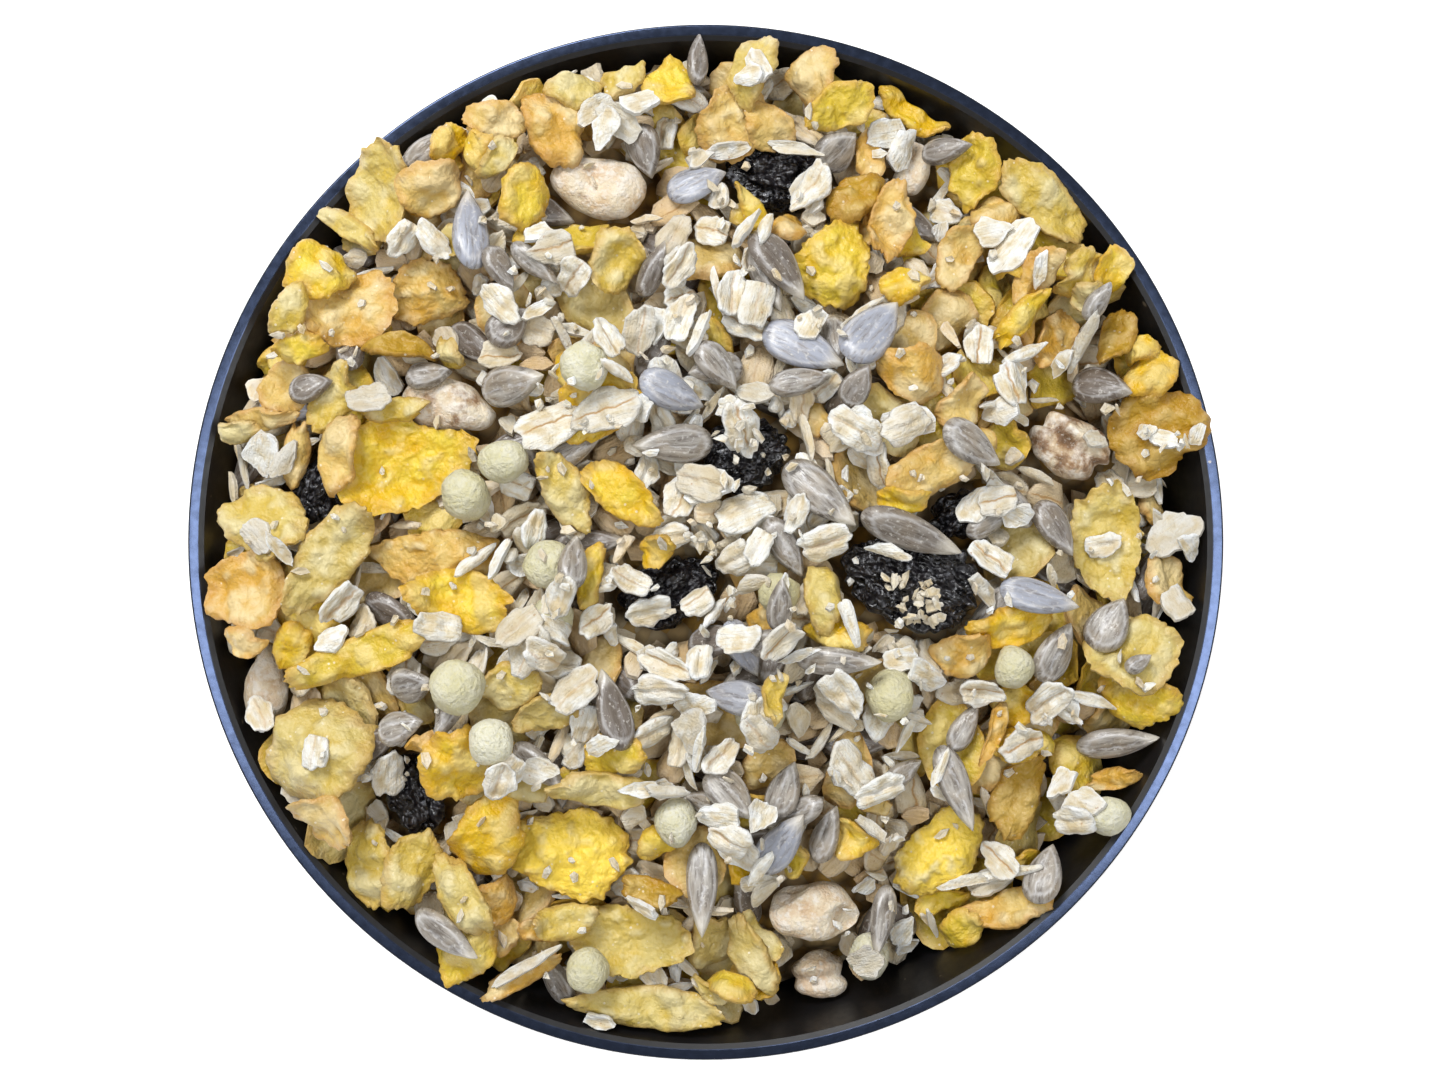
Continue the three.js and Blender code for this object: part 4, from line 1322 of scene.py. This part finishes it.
# White broken oats and slivers: the middle, the length and the width in pixels, and the turn in degrees.
PLACED_BROKEN = [
    (596, 108, 46, 36, 30), (618, 122, 44, 34, -40), (604, 128, 40, 30, 80), (640, 100, 36, 28, 20),
    (757, 62, 44, 26, -70), (748, 74, 30, 22, 10), (892, 134, 50, 34, 10), (904, 148, 40, 30, 70),
    (812, 190, 54, 44, 70), (1010, 248, 66, 36, 52), (990, 232, 40, 32, 10), (1015, 384, 48, 40, -75),
    (1000, 412, 34, 28, 20), (680, 266, 40, 32, -60), (655, 325, 46, 30, 70), (676, 322, 34, 24, 80),
    (640, 322, 34, 26, 60), (740, 425, 58, 26, -70), (728, 408, 30, 26, 0), (857, 430, 60, 46, -30),
    (907, 422, 50, 46, 10), (704, 484, 60, 36, -10), (640, 408, 44, 28, 30), (812, 325, 36, 30, 60),
    (1174, 532, 56, 44, 40), (1188, 545, 40, 24, -50), (255, 536, 44, 30, -40), (280, 548, 40, 12, -50),
    (262, 455, 46, 34, 75), (282, 462, 46, 26, 60), (260, 712, 44, 26, -60), (330, 640, 38, 28, 20),
    (720, 820, 48, 36, 0), (738, 850, 46, 30, -30), (866, 962, 44, 40, 20), (905, 940, 40, 30, 60),
    (985, 885, 50, 34, 10), (1000, 495, 44, 34, 10), (975, 505, 40, 30, 60), (1015, 515, 36, 30, -30),
    (695, 705, 40, 34, 20), (690, 730, 44, 36, 70), (600, 745, 40, 26, 30), (540, 770, 40, 30, -20),
    (512, 770, 36, 30, 50), (1080, 800, 44, 34, -20), (1060, 780, 40, 26, 60), (905, 660, 40, 28, 0),
    (925, 675, 44, 30, -30), (540, 235, 36, 26, 20), (760, 815, 36, 26, 60), (725, 149, 56, 20, 14),
    (700, 158, 34, 18, 40), (795, 150, 62, 13, -8), (1040, 270, 44, 14, 85), (1083, 342, 66, 15, 66),
    (1060, 365, 40, 14, 60), (525, 968, 80, 13, 32), (598, 1021, 38, 16, -6), (890, 552, 46, 15, -4),
    (985, 592, 48, 22, -50), (1097, 440, 26, 20, 0), (1163, 440, 30, 16, -10), (1146, 430, 20, 16, 30),
    (1196, 436, 26, 16, 70), (640, 790, 52, 18, 0), (668, 792, 60, 16, 2), (848, 618, 52, 14, -70),
    (970, 880, 62, 13, 12), (1010, 870, 66, 12, 10), (1090, 700, 60, 13, -20), (1068, 715, 50, 12, -30),
    (560, 330, 46, 12, -60), (700, 330, 50, 12, 70), (620, 372, 44, 12, -40), (536, 310, 40, 14, 30),
    (745, 235, 52, 14, 60), (765, 225, 44, 14, 70), (500, 560, 40, 12, 60), (475, 560, 50, 16, 40),
    (1020, 355, 60, 13, 30), (940, 770, 40, 12, 70), (700, 745, 50, 12, 75), (640, 905, 40, 13, -30),
    (715, 610, 44, 13, 55), (800, 655, 44, 12, 20), (870, 830, 50, 14, -40), (760, 870, 40, 13, 60),
    (1178, 604, 40, 28, -70),
]
# Clusters of crumbs: the middle, the half width and the half height in pixels, how many, and how brown.
PLACED_CRUMBS = [
    (924, 594, 18, 12, 16, 0.9), (914, 612, 18, 12, 14, 0.9), (898, 582, 12, 5, 7, 0.9),
    (936, 612, 10, 10, 6, 0.8), (1162, 442, 26, 12, 8, 0.4), (575, 398, 40, 26, 10, 0.4),
    (380, 745, 60, 40, 8, 0.4),
]
KERNEL_TONES = {"s": (0.0, 0.05), "g": (0.3, 0.45), "d": (0.7, 1.0)}
LARGE_FLAKE = 80  # pixels; a longer one has a finer mesh
OAT_SHRINK = 0.94  # because the ragged edge of an oat reaches past its length
KIND_NAMES = {"g": "golden_flakes", "t": "tan_flakes", "a": "amber_flakes", "p": "pale_flakes"}


def place_by_photo(kind, shape, px, py, turn, tone):
    """Settles a shape where its middle covers a pixel of the photograph."""
    height = RIM_HEIGHT + 4.0  # a first guess
    for _ in range(2):
        x, y = from_photo(px, py, height)
        turn_all, place = settle(shape, x, y, math.radians(turn), steepest=0.55)
        height = place[2]
    put(kind, shape, turn_all, place, tone, checked=False)


for px, py, length, width, turn, kind in PLACED_FLAKES:
    sizes = length / PIXELS_PER_MM, width / PIXELS_PER_MM
    rings, segments = (18, 88) if length > LARGE_FLAKE else (12, 56)
    place_by_photo(KIND_NAMES[kind], corn_flake(*sizes, rings, segments), px, py, turn, RNG.random())
for px, py, size in PLACED_PUFFS:
    place_by_photo("puffs", puff(size / PIXELS_PER_MM, 3), px, py, 0, RNG.random())
for px, py, length, width, turn, look in PLACED_KERNELS:
    shape = kernel(length / PIXELS_PER_MM, width / PIXELS_PER_MM, RNG.uniform(2.0, 2.6), 9, 32)
    place_by_photo("kernels", shape, px, py, turn, RNG.uniform(*KERNEL_TONES[look]))
for px, py, length, width, turn in PLACED_BROKEN:
    shape = broken_oat(length / PIXELS_PER_MM, width / PIXELS_PER_MM, 5, 24)
    place_by_photo("broken_oats", shape, px, py, turn, RNG.uniform(0.3, 0.6))
for px, py, length, turn in PLACED_OATS:
    length = length / PIXELS_PER_MM * OAT_SHRINK
    shape = oat_flake(length, length * RNG.uniform(0.56, 0.68), 8, 32)
    place_by_photo("oats", shape, px, py, turn, RNG.uniform(0.2, 0.75))
for px, py, half_width, half_height, number, brown in PLACED_CRUMBS:
    for shift_x, shift_y in RNG.uniform(-1, 1, (number, 2)) * [half_width, half_height]:
        turn, shape = RNG.uniform(0, 360), pick(crumbs)
        tone = brown + RNG.uniform(-0.1, 0.1)
        place_by_photo("crumbs", shape, px + shift_x, py + shift_y, turn, tone)

# ---- Loose crumbs on top ----

CRUMB_RADIUS = 58
CRUMB_SPREAD = 0.75  # 0.5 would spread them evenly, and 1 crowds the middle


def scatter_crumbs(number):
    """Crumbs of oats anywhere on the heap, more of them in the middle."""
    for _ in range(number):
        radius = CRUMB_RADIUS * RNG.random() ** CRUMB_SPREAD
        angle = RNG.uniform(0, 2 * math.pi)
        shape = pick(crumbs)
        x, y = radius * math.cos(angle), radius * math.sin(angle)
        put("crumbs", shape, *settle(shape, x, y, RNG.uniform(0, 6.3)), RNG.random(), checked=False)


scatter_crumbs(260)

for kind, items in pieces.items():
    finish_piece(joined("granola_" + kind, items), kind, "granola_heap")

# ---- Floor, lights and camera ----

FLOOR_SIZE = 3.0
SIDE_HEIGHT = 0.62


def make_floor():
    half = FLOOR_SIZE / 2 / MM
    verts = np.array([(-half, -half, 0), (half, -half, 0), (half, half, 0), (-half, half, 0)], float)
    ob = new_mesh("floor", verts, np.array([(0, 1, 2), (0, 2, 3)]))
    tree = Tree("floor")
    tree.body = (0.98, 0.98, 0.98, 1)
    ob.data.materials.append(tree.finish(Roughness=0.9, Emission_Color=tree.body, Emission_Strength=0.6))
    ob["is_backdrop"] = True


def make_light(name, place, size, watts, tint=(1, 1, 1)):
    data = bpy.data.lights.new(name, "AREA")
    data.shape = "RECTANGLE"
    data.size, data.size_y = size
    data.energy = watts
    data.color = tint
    ob = bpy.data.objects.new(name, data)
    ob.location = place
    ob.rotation_euler = (-Vector(place)).to_track_quat("-Z", "Y").to_euler()
    bpy.context.scene.collection.objects.link(ob)


def make_camera():
    data = bpy.data.cameras.new("camera")
    data.sensor_width = 36.0
    width_at_rim = PHOTO_WIDTH / PIXELS_PER_MM
    data.lens = data.sensor_width * VIEW_HEIGHT / width_at_rim
    data.shift_x = (PHOTO_WIDTH / 2 - RIM_CENTRE[0]) / PHOTO_WIDTH
    data.shift_y = (RIM_CENTRE[1] - PHOTO_HEIGHT / 2) / PHOTO_WIDTH
    ob = bpy.data.objects.new("camera", data)
    ob.location = (0, 0, (RIM_HEIGHT + VIEW_HEIGHT) * MM)
    bpy.context.scene.collection.objects.link(ob)
    bpy.context.scene.camera = ob


make_floor()
make_light("key", (-0.22, 0.46, 0.64), (0.34, 0.24), 4.9, (0.98, 0.99, 1.0))
make_light("left", (-0.223, -0.026, SIDE_HEIGHT), (0.15, 0.15), 0.58, (0.94, 0.97, 1.0))
make_light("right", (0.219, -0.052, SIDE_HEIGHT), (0.18, 0.18), 0.88, (0.94, 0.97, 1.0))
make_camera()

world = bpy.data.worlds.new("world")
world.use_nodes = True
background = world.node_tree.nodes["Background"]
background.inputs["Color"].default_value = (1.0, 0.985, 0.955, 1)
background.inputs["Strength"].default_value = 0.31
bpy.context.scene.world = world
bpy.context.scene.view_settings.view_transform = "Standard"

visual_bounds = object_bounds()
sizes = {
    "cad": [list(corner) for corner in cad_bounds],
    "visual": [list(corner) for corner in visual_bounds],
}
